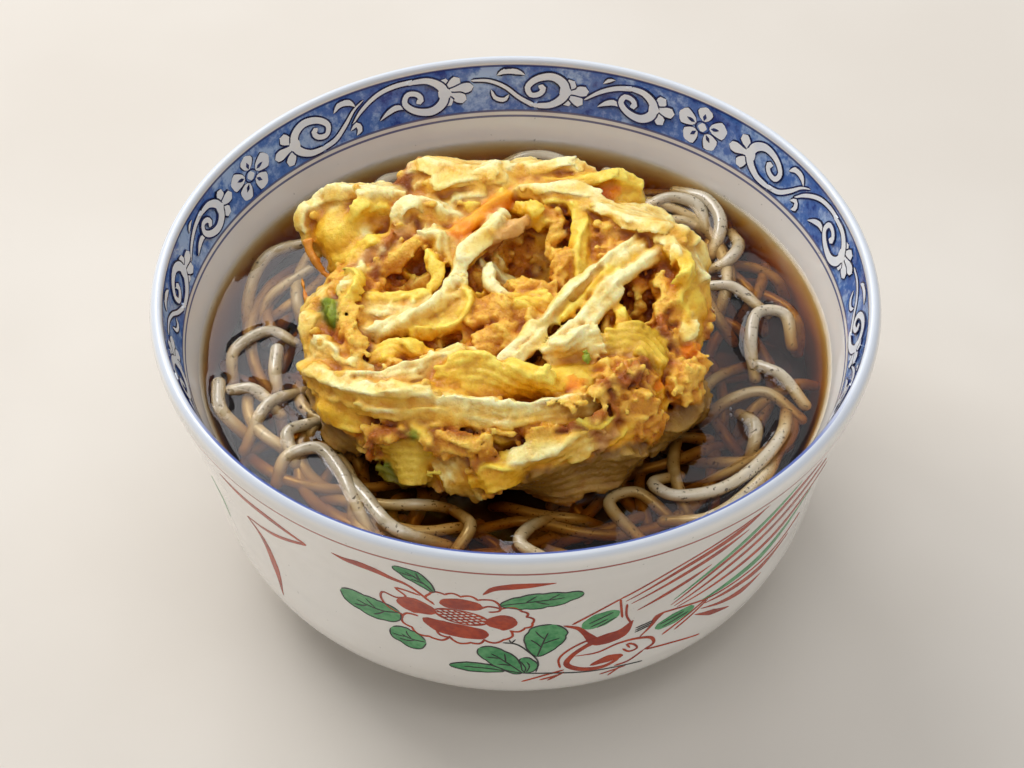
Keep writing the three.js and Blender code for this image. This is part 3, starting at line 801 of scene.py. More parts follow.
def loose_strands(random, count):
    """Strands that lie deeper, in even arcs between the fritter and the wall; their ends dive."""
    paths = []
    while len(paths) < count:
        angle = random.uniform(0, 2 * np.pi)
        radius = random.uniform(*LOOSE_RADIUS)
        heading = angle + np.pi / 2 + random.normal(0, 0.7)
        turn = random.choice([-1, 1]) * NOODLE_STRIDE / random.uniform(*LOOSE_BEND)
        depth = random.uniform(*LOOSE_HEIGHT)
        steps = int(random.uniform(*LOOSE_STEPS))
        headings = heading + turn * (np.arange(steps) - steps / 2)
        strides = NOODLE_STRIDE * np.stack([np.cos(headings), np.sin(headings)], -1)
        middle = np.array([radius * np.cos(angle), radius * np.sin(angle)])
        track = middle + np.cumsum(strides, 0) - strides.sum(0) / 2
        reach = np.hypot(*track.T)
        limit = inner_radius(depth) - NOODLE_DIAMETER / 2 - 0.4
        if reach.max() < limit and reach.min() > 36 and steps * abs(turn) < 5:
            sag = np.interp(np.linspace(0, 1, steps), [0, 0.18, 0.82, 1], [-3.5, 0, 0, -3.5])
            sway = 0.7 * np.sin(np.arange(steps) * 0.6 + angle)
            paths.append(np.column_stack([track, depth + sag + sway]))
    return paths


def noodle_lines():
    loose = loose_strands(np.random.default_rng(LOOSE_SEED), LOOSE_STRANDS)
    return [spline(path, 1.0) for path in STRANDS + loose]


def heap_bed():
    """The closed heap under the strands, with waves the size of strands; its colour is painted shade."""
    radius, height = np.array(HEAP_PROFILE, float)[1:-1, :, None].transpose(1, 0, 2)
    angle = np.linspace(0, 2 * np.pi, HEAP_SIDES, endpoint=False)
    rings = turned(radius, angle, height + 0.7 * np.sin(angle * 23 + radius) * (height > 40))
    return skin(rings, [[0, 0, HEAP_PROFILE[0][1]], [0, 0, HEAP_PROFILE[-1][1]]])


def soba():
    """Wet buckwheat noodle: specked, and browner where it is deep, partly from soaking and partly as painted
    shade; the heap under the strands is painted dark as shade.
    """
    n = Nodes("soba")
    strand = n.add("Attribute", attribute_name="strand").outputs["Color"]
    shade, depth, shaded_heap = n.add("SeparateXYZ", {0: strand}).outputs
    tone = n.mix(shade, linear(172, 158, 128), linear(199, 186, 159))
    tone = n.mix(n.step(n.noise(260.0, 3.0), 0.35, 0.65), tone, linear(201, 189, 165))
    speck = n.step(n.noise(1050.0, 2.0, 0.6), 0.62, 0.68)
    tone = n.mix(n.times(speck, 0.85), tone, linear(66, 52, 38))
    # Browner with depth: soaking and painted shade. The heap is painted near black-brown as shade, since it
    # lies in the shadow under the strands.
    tone = n.mix(shaded_heap, n.tinted(depth, tone, (0.42, 0.28, 0.1)), linear(46, 32, 18))
    return n.principled({
        "Base Color": tone, "Roughness": 0.16, "Normal": n.bump(n.noise(900.0, 2.0), 0.00008),
        "Subsurface Weight": 0.25, "Subsurface Radius": (1.0, 0.8, 0.6), "Subsurface Scale": 0.0015,
        "Coat Weight": 0.5, "Coat Roughness": 0.08})


def make_noodles(lines):
    random = np.random.default_rng(NOODLE_SEED)
    parts, channels = [], []
    for line in lines:
        wave = 1 + 0.035 * np.sin(np.arange(len(line)) * 0.35 + random.uniform(0, 6))
        width = NOODLE_DIAMETER / 2 * random.uniform(0.94, 1.04)
        parts.append(sweep(line, width * wave, NOODLE_SIDES))
        depth = np.clip((PALE_HEIGHT - parts[-1][0][:, 2]) / SOAK_AND_SHADE_DEPTH, 0, 1)
        shade = np.full(len(depth), random.uniform(0, 1))
        channels.append(np.stack([shade, depth, 0 * shade], -1))
    # The heap gets full depth and the heap flag, so that it is painted as shade.
    parts.append(heap_bed())
    channels.append(np.tile([0.0, 1.0, 1.0], (len(parts[-1][0]), 1)))
    noodles = node_mesh("soba_noodles", *joined(parts))
    set_colour(noodles, "strand", np.vstack(channels))
    place(noodles, soba(), "soba", "noodles")


# =====================================================================================
# Broth
# =====================================================================================
BROTH_RINGS, BROTH_SIDES = 150, 300
# How far the liquid reaches into the wall, so that no air shows between them.
WALL_OVERLAP = 0.25
# Heights under the surface where the broth follows the wall, and where its underside lies.
BROTH_DEPTHS = [57, 50, 40, 30, 24.5, 17.5]
BROTH_FLOOR_RADIUS, BROTH_FLOOR, BROTH_MIDDLE = 40, 14.4, 13.8
# How high the liquid climbs and over what distance: at the wall, the strands and the fritter.
WALL_CLIMB, STRAND_CLIMB, FRITTER_CLIMB = (0.5, 1.2), (0.45, 1.1), (0.75, 1.3)
STRAND_REACH = 6
OUTLINE_CHUNK = 60
BUBBLE_SEED = 31
# Bubbles at the surface: middle of a cluster, spread and number.
BUBBLE_CLUSTERS = [((-47, 8), 4, 5), ((-48, 0), 4, 5), ((-53, -12), 5, 4), ((-48, -19), 4, 6),
                   ((52, -22), 6, 3), ((50, 20), 5, 3)]


def climb(limits, gap):
    """Rise of the surface at a gap from what it clings to."""
    height, reach = limits
    return height * np.exp(-gap / reach)


def broth_rise(lines, fritter_outline, x, y, wall_gap):
    """Rise of the surface over its level at the places x and y."""
    rise = climb(WALL_CLIMB, wall_gap)[:, None] + np.zeros_like(x)
    samples = np.vstack([line[::2] for line in lines])
    half_width = NOODLE_DIAMETER / 2
    for px, py, pz in samples[samples[:, 2] + half_width > BROTH_LEVEL + 0.05]:
        near = (np.abs(x - px) < STRAND_REACH) & (np.abs(y - py) < STRAND_REACH)
        half = math.sqrt(max(half_width ** 2 - (BROTH_LEVEL - pz) ** 2, 0.05))
        gap = np.maximum(np.hypot(x[near] - px, y[near] - py) - half, 0)
        rise[near] = np.maximum(rise[near], climb(STRAND_CLIMB, gap))
    fritter_x, fritter_y = fritter_outline.T
    for i in range(len(x)):
        for j in range(0, x.shape[1], OUTLINE_CHUNK):
            part = (i, slice(j, j + OUTLINE_CHUNK))
            gap = np.sqrt((x[part][:, None] - fritter_x) ** 2 + (y[part][:, None] - fritter_y) ** 2).min(1)
            rise[part] = np.maximum(rise[part], climb(FRITTER_CLIMB, gap))
    return rise


def dark_broth():
    n = Nodes("broth")
    ripple = n.bump(n.noise(60.0, 2.0), 0.00012, 0.5)
    glass = n.add("BsdfGlass", {"Color": (1, 1, 1), "Roughness": 0.0, "IOR": 1.33, "Normal": ripple})
    clear = n.add("BsdfTransparent", {"Color": (0.97, 0.97, 0.97)})
    shadow = n.add("LightPath").outputs["Is Shadow Ray"]
    soak = n.add("VolumeAbsorption", {"Color": (0.85, 0.635, 0.06), "Density": 330.0})
    n.tree.links.new(soak.outputs[0], n.output.inputs["Volume"])
    return n.surface(n.add("MixShader", {0: shadow, 1: glass, 2: clear}))


def make_broth(lines, fritter_outline):
    """The liquid: its surface climbs the wall, the noodles that break it and the fritter."""
    wall = inner_radius(BROTH_LEVEL) + WALL_OVERLAP
    share = np.linspace(0, 1, BROTH_RINGS + 1)[1:]
    radius = wall * (1 - (1 - share) ** 1.15)
    angle = np.linspace(0, 2 * np.pi, BROTH_SIDES, endpoint=False)
    x, y = radius[:, None] * np.cos(angle), radius[:, None] * np.sin(angle)
    rise = broth_rise(lines, fritter_outline, x, y, wall - radius)
    surface = np.stack([x, y, BROTH_LEVEL + rise], -1)
    below = [turned(inner_radius(z) + WALL_OVERLAP, angle, z - 0.2) for z in BROTH_DEPTHS]
    below.append(turned(BROTH_FLOOR_RADIUS, angle, BROTH_FLOOR))
    ends = [[0, 0, BROTH_LEVEL + rise[0].mean()], [0, 0, BROTH_MIDDLE]]
    points, faces = skin(np.concatenate([surface, below]), ends)
    place(node_mesh("broth_liquid", points, faces[:, ::-1]), dark_broth(), "broth", "broth")


def make_bubbles():
    """Small pale beads of foam that float half out of the broth."""
    random = np.random.default_rng(BUBBLE_SEED)
    parts = []
    for middle, spread, count in BUBBLE_CLUSTERS:
        for _ in range(count):
            x, y = random.normal(middle, spread / 2)
            size = random.uniform(0.15, 0.38)
            line = np.array([(x, y, BROTH_LEVEL + height) for height in (-0.3, 0, 0.15)])
            parts.append(sweep(line, size, 10))
    n = Nodes("foam")
    tone = n.ramp(n.noise(900.0), (0.4, (176, 164, 160)), (0.6, (226, 222, 222)))
    foam = n.principled({"Base Color": tone, "Roughness": 0.12, "Transmission Weight": 0.5, "IOR": 1.2})
    place(node_mesh("broth_bubbles", *joined(parts)), foam, "broth")


# =====================================================================================
# Kakiage
# =====================================================================================
# The grid of distances: its cells, its corners and what it holds before anything is laid.
VOXEL = 0.5
FIELD_LOW = np.array([-57.0, -56.0, 51.0])
FIELD_HIGH = np.array([52.0, 47.0, 90.0])
FAR = 6.0
# Of each of the fritter's two pieces.
MOST_TRIANGLES = 194000

# ---- the puck under the strips ----
TOP_HEIGHT = 75.0
TOP_TILT = 0.1
# Its rim of the top: height, radius and width.
RIM_HEIGHT, RIM_RADIUS, RIM_WIDTH = 1.5, 33, 8
# Hollows of the top: x, y, half lengths along x and y, depth.
HOLLOWS = [(3, 12, 8, 9, 10), (-24, 8, 8, 8, 6), (33, -2, 5, 9, 7), (-17, -16, 14, 3.5, 5), (6, -14, 8, 5, 3),
           (-6, 2, 6, 8, 3), (22, -26, 8, 6, 3)]
# Radius of the side at shares of the height, from the bottom up.
SIDE_SHARES = [0, 0.04, 0.17, 0.4, 0.66, 0.84, 1]
SIDE_RADII = [29, 31, 36, 40, 41.5, 40.5, 36]
SIDE_HEIGHT = 23

# Hollows cut into the lumps before the long strips are laid: centre, half lengths.
PITS = [((4, 14, 78), (7.5, 6, 9)), ((6, 6.5, 75), (4, 5, 6)), ((-22.5, 10.5, 78), (4.5, 3, 5.5)),
        ((-25, 3.5, 76), (7, 3.5, 5.5)), ((-24, -14.3, 75.5), (11, 1.9, 4.5)),
        ((-14.5, -12.5, 74), (2.4, 1.8, 6)), ((24, -1, 76), (3.5, 6, 7)), ((28, -6, 75), (3.5, 3.5, 7)),
        ((19, -35.5, 69.5), (2.4, 6, 2)), ((37, -26, 68), (3.5, 5, 2.5)), ((25.5, -27.5, 73), (2, 2, 4.5)),
        ((6, -23.8, 76), (6, 1.5, 4)), ((-28, 18, 78), (3.5, 2.5, 3)), ((17, -13, 78), (3, 5, 3)),
        ((4, -38.5, 72), (4, 2, 2.5))]

# Kind, width, thickness, path.
STRIPS = [
    ("onion", 13, 4, [(-46, 24, 68), (-46, 29, 73), (-41, 32, 78), (-34, 31.5, 80), (-27, 30, 80)]),
    ("yellow", 12, 4, [(-43, 18, 68), (-41, 23, 73), (-35, 25, 77), (-27, 25, 78)]),
    ("onion", 2.4, 2.2, [(-33, 16, 77), (-35.5, 20, 78), (-33, 24, 79), (-29, 26, 79.5)]),
    ("yellow", 8, 3.5, [(-40, 11, 71), (-36, 14, 74), (-31, 17, 76), (-28, 21, 77)]),
    ("brown", 3.6, 4, [(-27, 29, 78), (-26, 33, 81), (-22.5, 37, 84)]),
    ("onion", 12, 5, [(-23, 36, 82), (-17, 36, 84), (-11, 35, 83.5), (-3, 35.5, 83.5)]),
    ("onion", 10, 5, [(-22, 31, 81), (-15, 31, 82.5), (-7, 32, 82.5), (0, 33, 82.5)]),
    ("onion", 8, 4, [(-3, 36, 84), (4, 36, 84), (11, 36, 83.5), (17, 35, 82.5)]),
    ("yellow", 12, 4, [(5, 32, 81.5), (13, 33, 81.5), (21, 33.5, 81), (28, 33, 79)]),
    ("carrot", 3, 2.6, [(19, 28.5, 80.5), (22, 29.5, 80.5), (25, 30, 79.8)]),
    ("onion", 6, 4, [(-19, 27, 80), (-12, 27, 80.5), (-6, 29, 82)]),
    ("yellow", 7, 4, [(-13, 23, 79), (-7, 26, 80.5), (0, 30, 82)]),
    ("onion", 10, 4.5, [(-27, 20, 77), (-24, 25, 79.5), (-18, 25, 80.5), (-13, 22, 80)]),
    ("onion", 5, 3, [(-30, 24, 78.5), (-26, 26, 79.5), (-23, 28, 81)]),
    ("mauve", 4.2, 3.6, [(-40, 9, 74), (-34, 12, 76), (-28, 17, 78), (-23, 20, 79.5)]),
    ("crust", 5, 3.5, [(-37, 6.5, 74), (-31, 9.5, 76), (-26, 12.5, 78), (-22, 15, 79)]),
    ("crust", 9, 6, [(-44, 5, 71), (-40, 5, 73.5), (-36, 4, 73)]),
    ("onion", 11, 4.5, [(-46, -12, 70), (-47, -4, 71), (-45, 3, 72), (-41, 5.5, 73)]),
    ("onion", 7, 4, [(-21, 17, 80), (-16, 14, 80), (-14, 10, 79.5)]),
    ("yellow", 3.4, 3, [(-20, 11, 79), (-18, 5, 78), (-19.5, 0, 77)]),
    ("onion", 4.8, 4.2, [(-3, 20, 82.5), (-8, 13, 81.5), (-12, 8, 80.5), (-14, 0, 79.5), (-20, -6, 78),
                         (-26, -10, 77), (-32, -11.5, 76), (-38, -7, 75.5)]),
    ("yellow", 4.6, 3.4, [(-39, -2, 75.8), (-32, -2, 76.8), (-26, -3, 77.3), (-20, -2, 78)]),
    ("onion", 4.4, 3.4, [(-39, -5, 75.5), (-32, -6, 76.4), (-26, -6.5, 77), (-21, -6, 77.6)]),
    ("yellow", 6, 4, [(-13, 0, 78.5), (-12, -5, 77.5), (-16, -9, 76.5), (-23, -12, 76)]),
    ("carrot", 4, 3.6, [(-15, 14, 80), (-9, 20, 81.5), (-1, 28, 83)]),
    ("mauve", 5, 3, [(-6, 13, 80), (-3, 15.5, 81), (2, 18.5, 82)]),
    ("crust", 3.5, 3, [(5, 20, 81), (8, 22, 81), (10, 18, 80), (8, 14, 79)]),
    ("yellow", 4.4, 3.8, [(6, 26, 83), (13, 24.5, 83), (15.5, 19, 82), (15, 12, 80.5), (14.5, 5, 78.5)]),
    ("onion", 7, 4, [(1, 28.5, 83), (8, 28.5, 84), (16, 26, 84), (23, 22, 83)]),
    ("yellow", 6, 4, [(1, 24, 81.5), (4, 22, 81.5), (6, 20, 80.5)]),
    ("crust", 7, 5, [(9, 12, 78), (11, 9, 78), (11, 4, 77)]),
    ("onion", 3.5, 3, [(-6, 6, 79), (-6, 2, 78.5), (-2, -2, 77.5)]),
    ("crust", 6, 4, [(-1, 4, 76), (3, 1.5, 76.5), (8, 1, 77)]),
    ("yellow", 9, 4, [(-3, -4, 77.5), (3, -5, 78), (8, -6, 78)]),
    ("crust", 8, 4, [(1, -11, 77.5), (7, -11, 78)]),
    ("crust", 9, 5, [(-9, -9, 77), (-5, -8, 78), (-1, -11, 77.5)]),
    ("crust", 9, 5, [(-8, -17, 76.5), (-3, -16, 76.5), (1, -17, 77)]),
    ("onion", 3, 2.6, [(-4, -24, 78), (1, -18, 79), (6, -12, 80)]),
    ("onion", 2.6, 2.4, [(-1, -24, 78), (4, -19, 79), (7, -14, 80)]),
    ("crust", 4, 3, [(-26, -17.5, 74), (-20, -18, 74), (-14, -18, 74.5), (-10, -17, 75)]),
    ("onion", 3.8, 3.0, [(33, 15, 82.5), (27, 9.5, 82.8), (20, 3.5, 82.5), (14, -3, 81.5), (9, -9.5, 80.5),
                         (5, -14, 79)]),
    ("yellow", 2.6, 2.4, [(34, 13, 82), (27, 7, 82), (20.5, 0.5, 81.8), (15, -6, 80.8), (10, -12, 79.8)]),
    ("onion", 3.6, 2.8, [(35, 10, 82), (28, 3.5, 82), (21, -3, 81.5), (17, -9, 80.5), (12, -15, 79.5),
                         (8, -20, 78.5)]),
    ("onion", 2.4, 2.2, [(24, -3, 81.2), (20.5, -8, 80.5), (16, -14, 79.6), (11, -19, 78.6)]),
    ("onion", 12, 4, [(8, -22, 78), (13, -20, 79), (18, -18, 79)]),
    ("onion", 14, 4.5, [(18, 23, 82), (26, 20.5, 83), (34, 16, 82.5), (40, 12, 80.5)]),
    ("onion", 15, 4.5, [(33, 11, 82), (39, 9, 80.5), (43, 4, 77.5)]),
    ("yellow", 16, 4.5, [(36, 8, 80), (40, 1, 77), (40, -7, 74.5)]),
    ("crust", 7, 4, [(32, 5, 77.5), (35, -3, 76.5), (33, -8, 75.5)]),
    ("onion", 8, 4, [(41, -4, 75), (40, -10, 73.5), (36, -13, 73)]),
    ("brown", 2.4, 2.2, [(44, 1, 74.5), (44, -4, 73.5), (43.6, -9, 72)]),
    ("leek", 11, 5, [(22, -17, 77.5), (28, -17, 76.5), (32, -21, 75.5)]),
    ("crust", 9, 6, [(18, -26, 75), (23, -25, 75.5), (28, -27, 74.5)]),
    ("crust", 8, 6, [(34, -22, 72), (38, -23, 71), (41.5, -18, 71)]),
    ("soaked", 11, 6, [(31, -32, 62.5), (37, -27, 63), (42, -18, 63.5)]),
    ("carrot", 4, 3.5, [(10, -31, 75.5), (14, -29, 76), (17, -27.5, 76)]),
    ("carrot", 3.5, 3, [(28, -28, 73), (32, -26, 73)]),
    ("carrot", 2.6, 2.6, [(39, -16, 74), (41, -14, 73.5)]),
    ("crust", 6, 4, [(18, -31, 74), (20, -28, 75), (22, -30, 74)]),
    ("onion", 6, 3.6, [(-48, -17, 70.5), (-43, -25, 73.5), (-35, -31, 76), (-26, -34, 77), (-14, -36, 77),
                       (-3, -38, 76.5), (9, -36.5, 76), (18, -33.5, 75)]),
    ("onion", 4.2, 3, [(-46, -20, 72.5), (-40, -27, 75), (-32, -31.5, 77), (-22, -33, 77.6),
                       (-12, -34, 77.2)]),
    ("onion", 3.6, 3, [(-45, -25, 70.8), (-38, -31, 73), (-29, -35.5, 75), (-18, -37.5, 75.2),
                       (-6, -39, 75)]),
    ("onion", 5.4, 4, [(-40, -25, 74), (-32, -28.5, 76), (-24, -27, 77.5), (-17, -24, 78),
                       (-10, -21.5, 78.5)]),
    ("yellow", 10, 4.5, [(-16, -28, 78), (-8, -28, 78.5), (1, -29.5, 78), (9, -31, 76)]),
    ("yellow", 7, 4, [(-32, -20, 75.5), (-27, -18.5, 76), (-20, -20, 76.5)]),
    ("onion", 9, 4, [(-46, -12, 72), (-44, -18, 73), (-38, -22, 74), (-33, -24, 75)]),
    ("mauve", 3.2, 3, [(-38, -11, 76), (-35, -14.5, 75.5), (-32, -18, 75)]),
    ("soaked", 11, 4.5, [(-45, -23, 67), (-41, -28, 65), (-35, -33, 62)]),
    ("yellow", 10, 4.5, [(-44, -23, 70), (-37, -30, 71), (-29, -33, 72)]),
    ("onion", 5, 3.5, [(-33, -32, 71), (-32, -35, 67), (-31, -37, 62.5)]),
    ("brown", 1.8, 2.6, [(-20, -38.5, 73.5), (-25, -39.5, 72.5), (-31, -39, 71), (-32.5, -39.6, 68),
                         (-32.5, -40, 63.5)]),
    ("leek", 14, 5, [(-28, -38.6, 66), (-22.5, -40.6, 67), (-16, -40.4, 68)]),
    ("yellow", 7, 4, [(-26, -39.5, 62), (-20, -41, 62), (-15, -40, 63)]),
    ("onion", 10, 5, [(-14, -38, 71), (-13.5, -41, 68), (-10.5, -44, 63), (-8, -46.5, 59.8)]),
    ("leek", 10, 4.5, [(-9, -39, 70.5), (-3, -40, 69.5), (3, -40, 69.5)]),
    ("yellow", 6.5, 6, [(-8, -46.5, 65.5), (-4, -46.8, 67), (1, -46, 69.5)]),
    ("onion", 6, 5.5, [(-2, -46.4, 69), (3, -45.4, 71), (8, -44, 71.6), (13, -42.4, 71.4), (17, -41, 71.2)]),
    ("mauve", 4.4, 4.6, [(14.5, -41.6, 71.4), (18, -40.6, 71.6), (21, -39.4, 72)]),
    ("soaked", 11, 5, [(0, -44.5, 62), (10, -44.5, 62.5), (19, -42, 63), (27, -38, 63)]),
    ("soaked", 8, 4.5, [(14, -41.5, 66), (22, -39, 67), (28, -37, 65)]),
    ("crust", 5, 3, [(22, -34, 75.5), (27, -33.5, 75.5), (31, -33, 74.5)]),
    ("green", 6, 2.6, [(-43.5, -2.5, 75), (-42.5, -6, 75.8), (-40.5, -10, 75.6)]),
    ("green", 2.8, 1.4, [(15.4, -23, 80.8), (16.3, -25.6, 79.8)]),
    ("green", 3.4, 1.8, [(-24, -40, 72.4), (-20, -41, 73)]),
    ("green", 4.5, 2.2, [(-31, -39, 60), (-26, -42, 60.2), (-20, -43, 59.8)]),
    ("stick", 1.5, 1.4, [(-51, 15, 72), (-49, 6, 70), (-47, -2, 67)]),
    ("stick", 2.2, 2.0, [(-49, 20, 74), (-46, 15, 71), (-42, 12, 69)]),
    ("stick", 2.6, 2.4, [(-49.3, 20, 74.6), (-48.4, 20.6, 74.4)]),
    ("onion", 0.9, 0.8, [(-4, -37, 78), (-6.5, -41, 74), (-8.5, -43.5, 70)]),
    ("speck", 0.8, 0.8, [(21, 34.2, 83), (21.8, 33.2, 83), (22.4, 32.4, 82.8)]),
    ("speck", 0.7, 0.7, [(12, 17, 81.5), (12.6, 16.3, 81.3)]),
    ("speck", 0.9, 0.7, [(27, -13, 79.3), (28, -13.8, 79.2)]),
]
# Puffed lumps and sheets of battered vegetable: kind, centre, half lengths.
PUFFS = [
    ("yellow", (-38, 24, 73), (9.5, 8.5, 7.5)), ("onion", (-40, 28, 74.5), (7, 6, 6)),
    ("onion", (-31, 28, 76), (8, 6, 5)), ("yellow", (-36, 16, 71), (7, 6, 6)),
    ("onion", (-17, 33.5, 79.5), (9, 6.5, 6)), ("onion", (-5, 33.5, 80), (9, 6.5, 5.5)),
    ("onion", (6, 34, 80), (8, 6, 5)), ("yellow", (16, 33, 79), (9, 5.5, 5)),
    ("yellow", (24, 32, 77.5), (7, 5.5, 4.5)), ("onion", (-18, 23, 78), (8, 5, 4)),
    ("onion", (27, 19, 79.5), (11, 8, 4.5)), ("onion", (38, 11, 77), (7.5, 8.5, 5.5)),
    ("yellow", (39.5, 1, 73), (6, 11, 8)), ("crust", (36, -13, 70), (6, 8, 5)),
    ("onion", (-44, -8, 68), (4.5, 12, 7)), ("yellow", (-36, 1, 72), (7, 6, 4)),
    ("yellow", (3, -5, 75), (9, 5, 3.6)), ("crust", (-4, -14, 74), (7, 4, 3.5)),
    ("yellow", (-12, -29.5, 75), (13, 5, 4)), ("crust", (26.5, -33.5, 69), (7, 5, 7)),
    ("yellow", (-37, -28, 69), (8, 6, 5)), ("leek", (-20, -35, 67), (10, 5, 5.5)),
    ("leek", (-3, -39, 67), (9, 4.5, 4)), ("soaked", (14, -38, 65), (12, 5.5, 5)),
    ("yellow", (12, -27, 75.5), (8, 5, 3)), ("leek", (27, -19, 74), (7, 6, 4)),
    ("onion", (-31, -4, 74), (8, 4, 3)),
]
KINDS = ["core", "onion", "yellow", "crust", "carrot", "mauve", "brown", "leek", "soaked", "green", "stick",
         "speck"]
FILLER_KINDS = ["crust", "yellow", "crust", "onion", "yellow", "crust", "brown", "yellow", "crust", "onion",
                "crust"]
SMOOTH_KINDS = ("onion", "yellow", "green")
ROUGH_KINDS = [KINDS.index(kind) for kind in ("core", "crust", "brown")]
CRUST = KINDS.index("crust")
# Short strips strewn over top and side: their number, then ranges of width, thickness, length and lift.
TOP_FILLERS = (90, (3, 7), (2.4, 4), (10, 26), (-1.0, 1.2))
SIDE_FILLERS = (150, (4, 9), (2.4, 4.2), (8, 24), (-1.0, 1.0))
TOP_SHREDS = (90, (1.1, 2.2), (1.0, 1.8), (4, 10), (-0.5, 1.8))
SIDE_SHREDS = (110, (1.1, 2.2), (1.0, 1.8), (4, 10), (0.2, 1.6))
# How far out the top's strips are strewn, and where and how fast their ends sag.
STREWN_RADIUS = 38
SAG_START, SAG = 36, 0.12
# Heights at which the side's strips start, and between which they stay.
SIDE_START, SIDE_LOW, SIDE_HIGH = (59, 75), 56, 77
CRUMBS = 900
FRITTER_SEED = 3
# Noises that roughen the batter: size in mm and seed.
GRAINS = [(5.0, 21), (2.0, 22), (1.05, 23)]
# How softly the strips melt into the body, and into each other where they stay crisp.
BODY_BLEND, STRIP_BLEND = 1.2, 0.6
# The strips' section: step along it, round edges, hollow face, depth of fibres.
STRIP_STEP, EDGE_ROUND, CUP, FIBRE_DEPTH = 0.8, 0.5, 0.7, 0.2
# From this height up the crags are drawn down, to no more than this much over it.
CEILING_START, CEILING_REACH = 83.0, 4.5
# Batter in narrow gaps: how many cells its blur reaches, and how far it stays under the strips.
WEB_REACH, WEB_LEVEL = 3, 0.12


class Field:
    """A grid of distances to the fritter's surface, negative inside."""

    def __init__(self):
        self.shape = tuple(np.ceil((FIELD_HIGH - FIELD_LOW) / VOXEL).astype(int) + 1)
        self.axes = [(FIELD_LOW[i] + VOXEL * np.arange(self.shape[i])).astype(np.float32) for i in range(3)]
        self.x, self.y, self.z = np.meshgrid(*self.axes, indexing="ij", sparse=True)
        self.distance = np.full(self.shape, FAR, np.float32)
        self.nearest = np.full(self.shape, FAR, np.float32)
        self.kind = np.zeros(self.shape, np.uint8)
        self.tone = np.zeros(self.shape, np.float32)

    def window(self, low, high):
        first = np.clip(((low - FIELD_LOW) / VOXEL).astype(int), 0, np.array(self.shape) - 2)
        last = np.clip(((high - FIELD_LOW) / VOXEL).astype(int) + 2, 1, np.array(self.shape))
        return tuple(slice(a, b) for a, b in zip(first, last))

    def grid(self, where):
        """Coordinates of a window's points, an array for each axis."""
        return np.meshgrid(*[a[s] for a, s in zip(self.axes, where)], indexing="ij")

    def merge(self, where, d, kind, tone, softness):
        """Smooth union of distances d in a window, keeping which piece is nearest."""
        old = self.distance[where]
        mix = np.clip(0.5 + 0.5 * (old - d) / softness, 0, 1)
        self.distance[where] = old * (1 - mix) + d * mix - softness * mix * (1 - mix)
        nearer = d < self.nearest[where]
        self.nearest[where] = np.where(nearer, d, self.nearest[where])
        self.kind[where] = np.where(nearer, kind, self.kind[where])
        self.tone[where] = np.where(nearer, tone, self.tone[where])

    def cut(self, where, d):
        """Takes away a form, given by the distances into it."""
        self.distance[where] = np.maximum(self.distance[where], d)
        self.nearest[where] = np.maximum(self.nearest[where], d)

    def ellipsoid(self, centre, size, margin):
        """A window round an ellipsoid of these half lengths, the offsets from its centre and their share."""
        where = self.window(centre - size - margin, centre + size + margin)
        offset = [g - c for g, c in zip(self.grid(where), centre)]
        return where, offset, np.sqrt(sum((o / r) ** 2 for o, r in zip(offset, size)))

    def lump(self, centre, size, kind, tone, softness):
        """Adds an ellipsoid."""
        centre, size = np.array(centre, float), np.broadcast_to(size, 3)
        where, offset, k0 = self.ellipsoid(centre, size, 2)
        k1 = np.sqrt(sum((o / r ** 2) ** 2 for o, r in zip(offset, size)))
        self.merge(where, (k0 * (k0 - 1) / np.maximum(k1, 1e-6)).astype(np.float32), kind, tone, softness)

    def hollow(self, centre, size):
        """Cuts away an ellipsoid."""
        centre, size = np.array(centre, float), np.array(size, float)
        where, _, k0 = self.ellipsoid(centre, size, 1)
        self.cut(where, ((1 - k0) * size.min()).astype(np.float32))

    def strip(self, path, width, thickness, tone):
        """A window, the distances to a bent flat bar of uneven width, and the height of its fibres."""
        line = spline(path, STRIP_STEP)
        tangent = tangents(line)
        side = unit(np.cross(tangent, unit(line - FRITTER_CENTRE)))
        lift = np.cross(side, tangent)
        pad = width / 2 + 3.0
        where = self.window(line.min(0) - pad, line.max(0) + pad)
        cube = np.stack(self.grid(where), -1)
        shape = cube.shape[:3]
        cube = cube.reshape(-1, 3).astype(np.float32)
        line32 = line.astype(np.float32)
        near = ((line32 ** 2).sum(1) - 2 * cube @ line32.T).argmin(1)
        offset = cube - line32[near]
        across, above, along = (np.einsum("ij,ij->i", offset, v.astype(np.float32)[near])
                                for v in (side, lift, tangent))
        run = np.arange(len(line)) * STRIP_STEP
        taper = np.clip(np.minimum(run, run[-1] - run) / (width * 0.6) + 0.3, 0, 1) ** 0.5
        phase = 40.0 * tone
        wave = 1 + 0.16 * np.sin(run * 0.33 + phase) + 0.09 * np.sin(run * 0.9 + 2 * phase)
        swell = 1 + 0.12 * np.sin(run * 0.5 + 3 * phase)
        half_width = (width / 2 * taper * wave)[near]
        half_thick = (thickness / 2 * taper ** 0.5 * swell)[near]
        twist = (0.5 * np.sin(np.linspace(0, 1, len(line)) * 5 + phase))[near]
        a = across * np.cos(twist) + above * np.sin(twist)
        b = above * np.cos(twist) - across * np.sin(twist)
        share_out = np.abs(a) / half_width
        b += CUP * np.sin(phase) * (np.minimum(share_out, 1.2) ** 2 - 0.4)
        beyond = np.stack([np.abs(a) - half_width, np.abs(b) - half_thick, np.abs(along) - half_thick], -1)
        beyond += EDGE_ROUND
        d = np.linalg.norm(np.maximum(beyond, 0), axis=1) + np.minimum(beyond.max(1), 0) - EDGE_ROUND
        fibres = np.sin(a * 3.3 + 1.5 * np.sin(run[near] * 0.25 + phase))
        d += FIBRE_DEPTH * fibres * np.clip(half_width - 1.0, 0, 1)
        fibres = fibres + 2.2 * np.clip((share_out - 0.72) / 0.28, 0, 1) - 0.4
        return where, d.reshape(shape).astype(np.float32), fibres.reshape(shape).astype(np.float32)


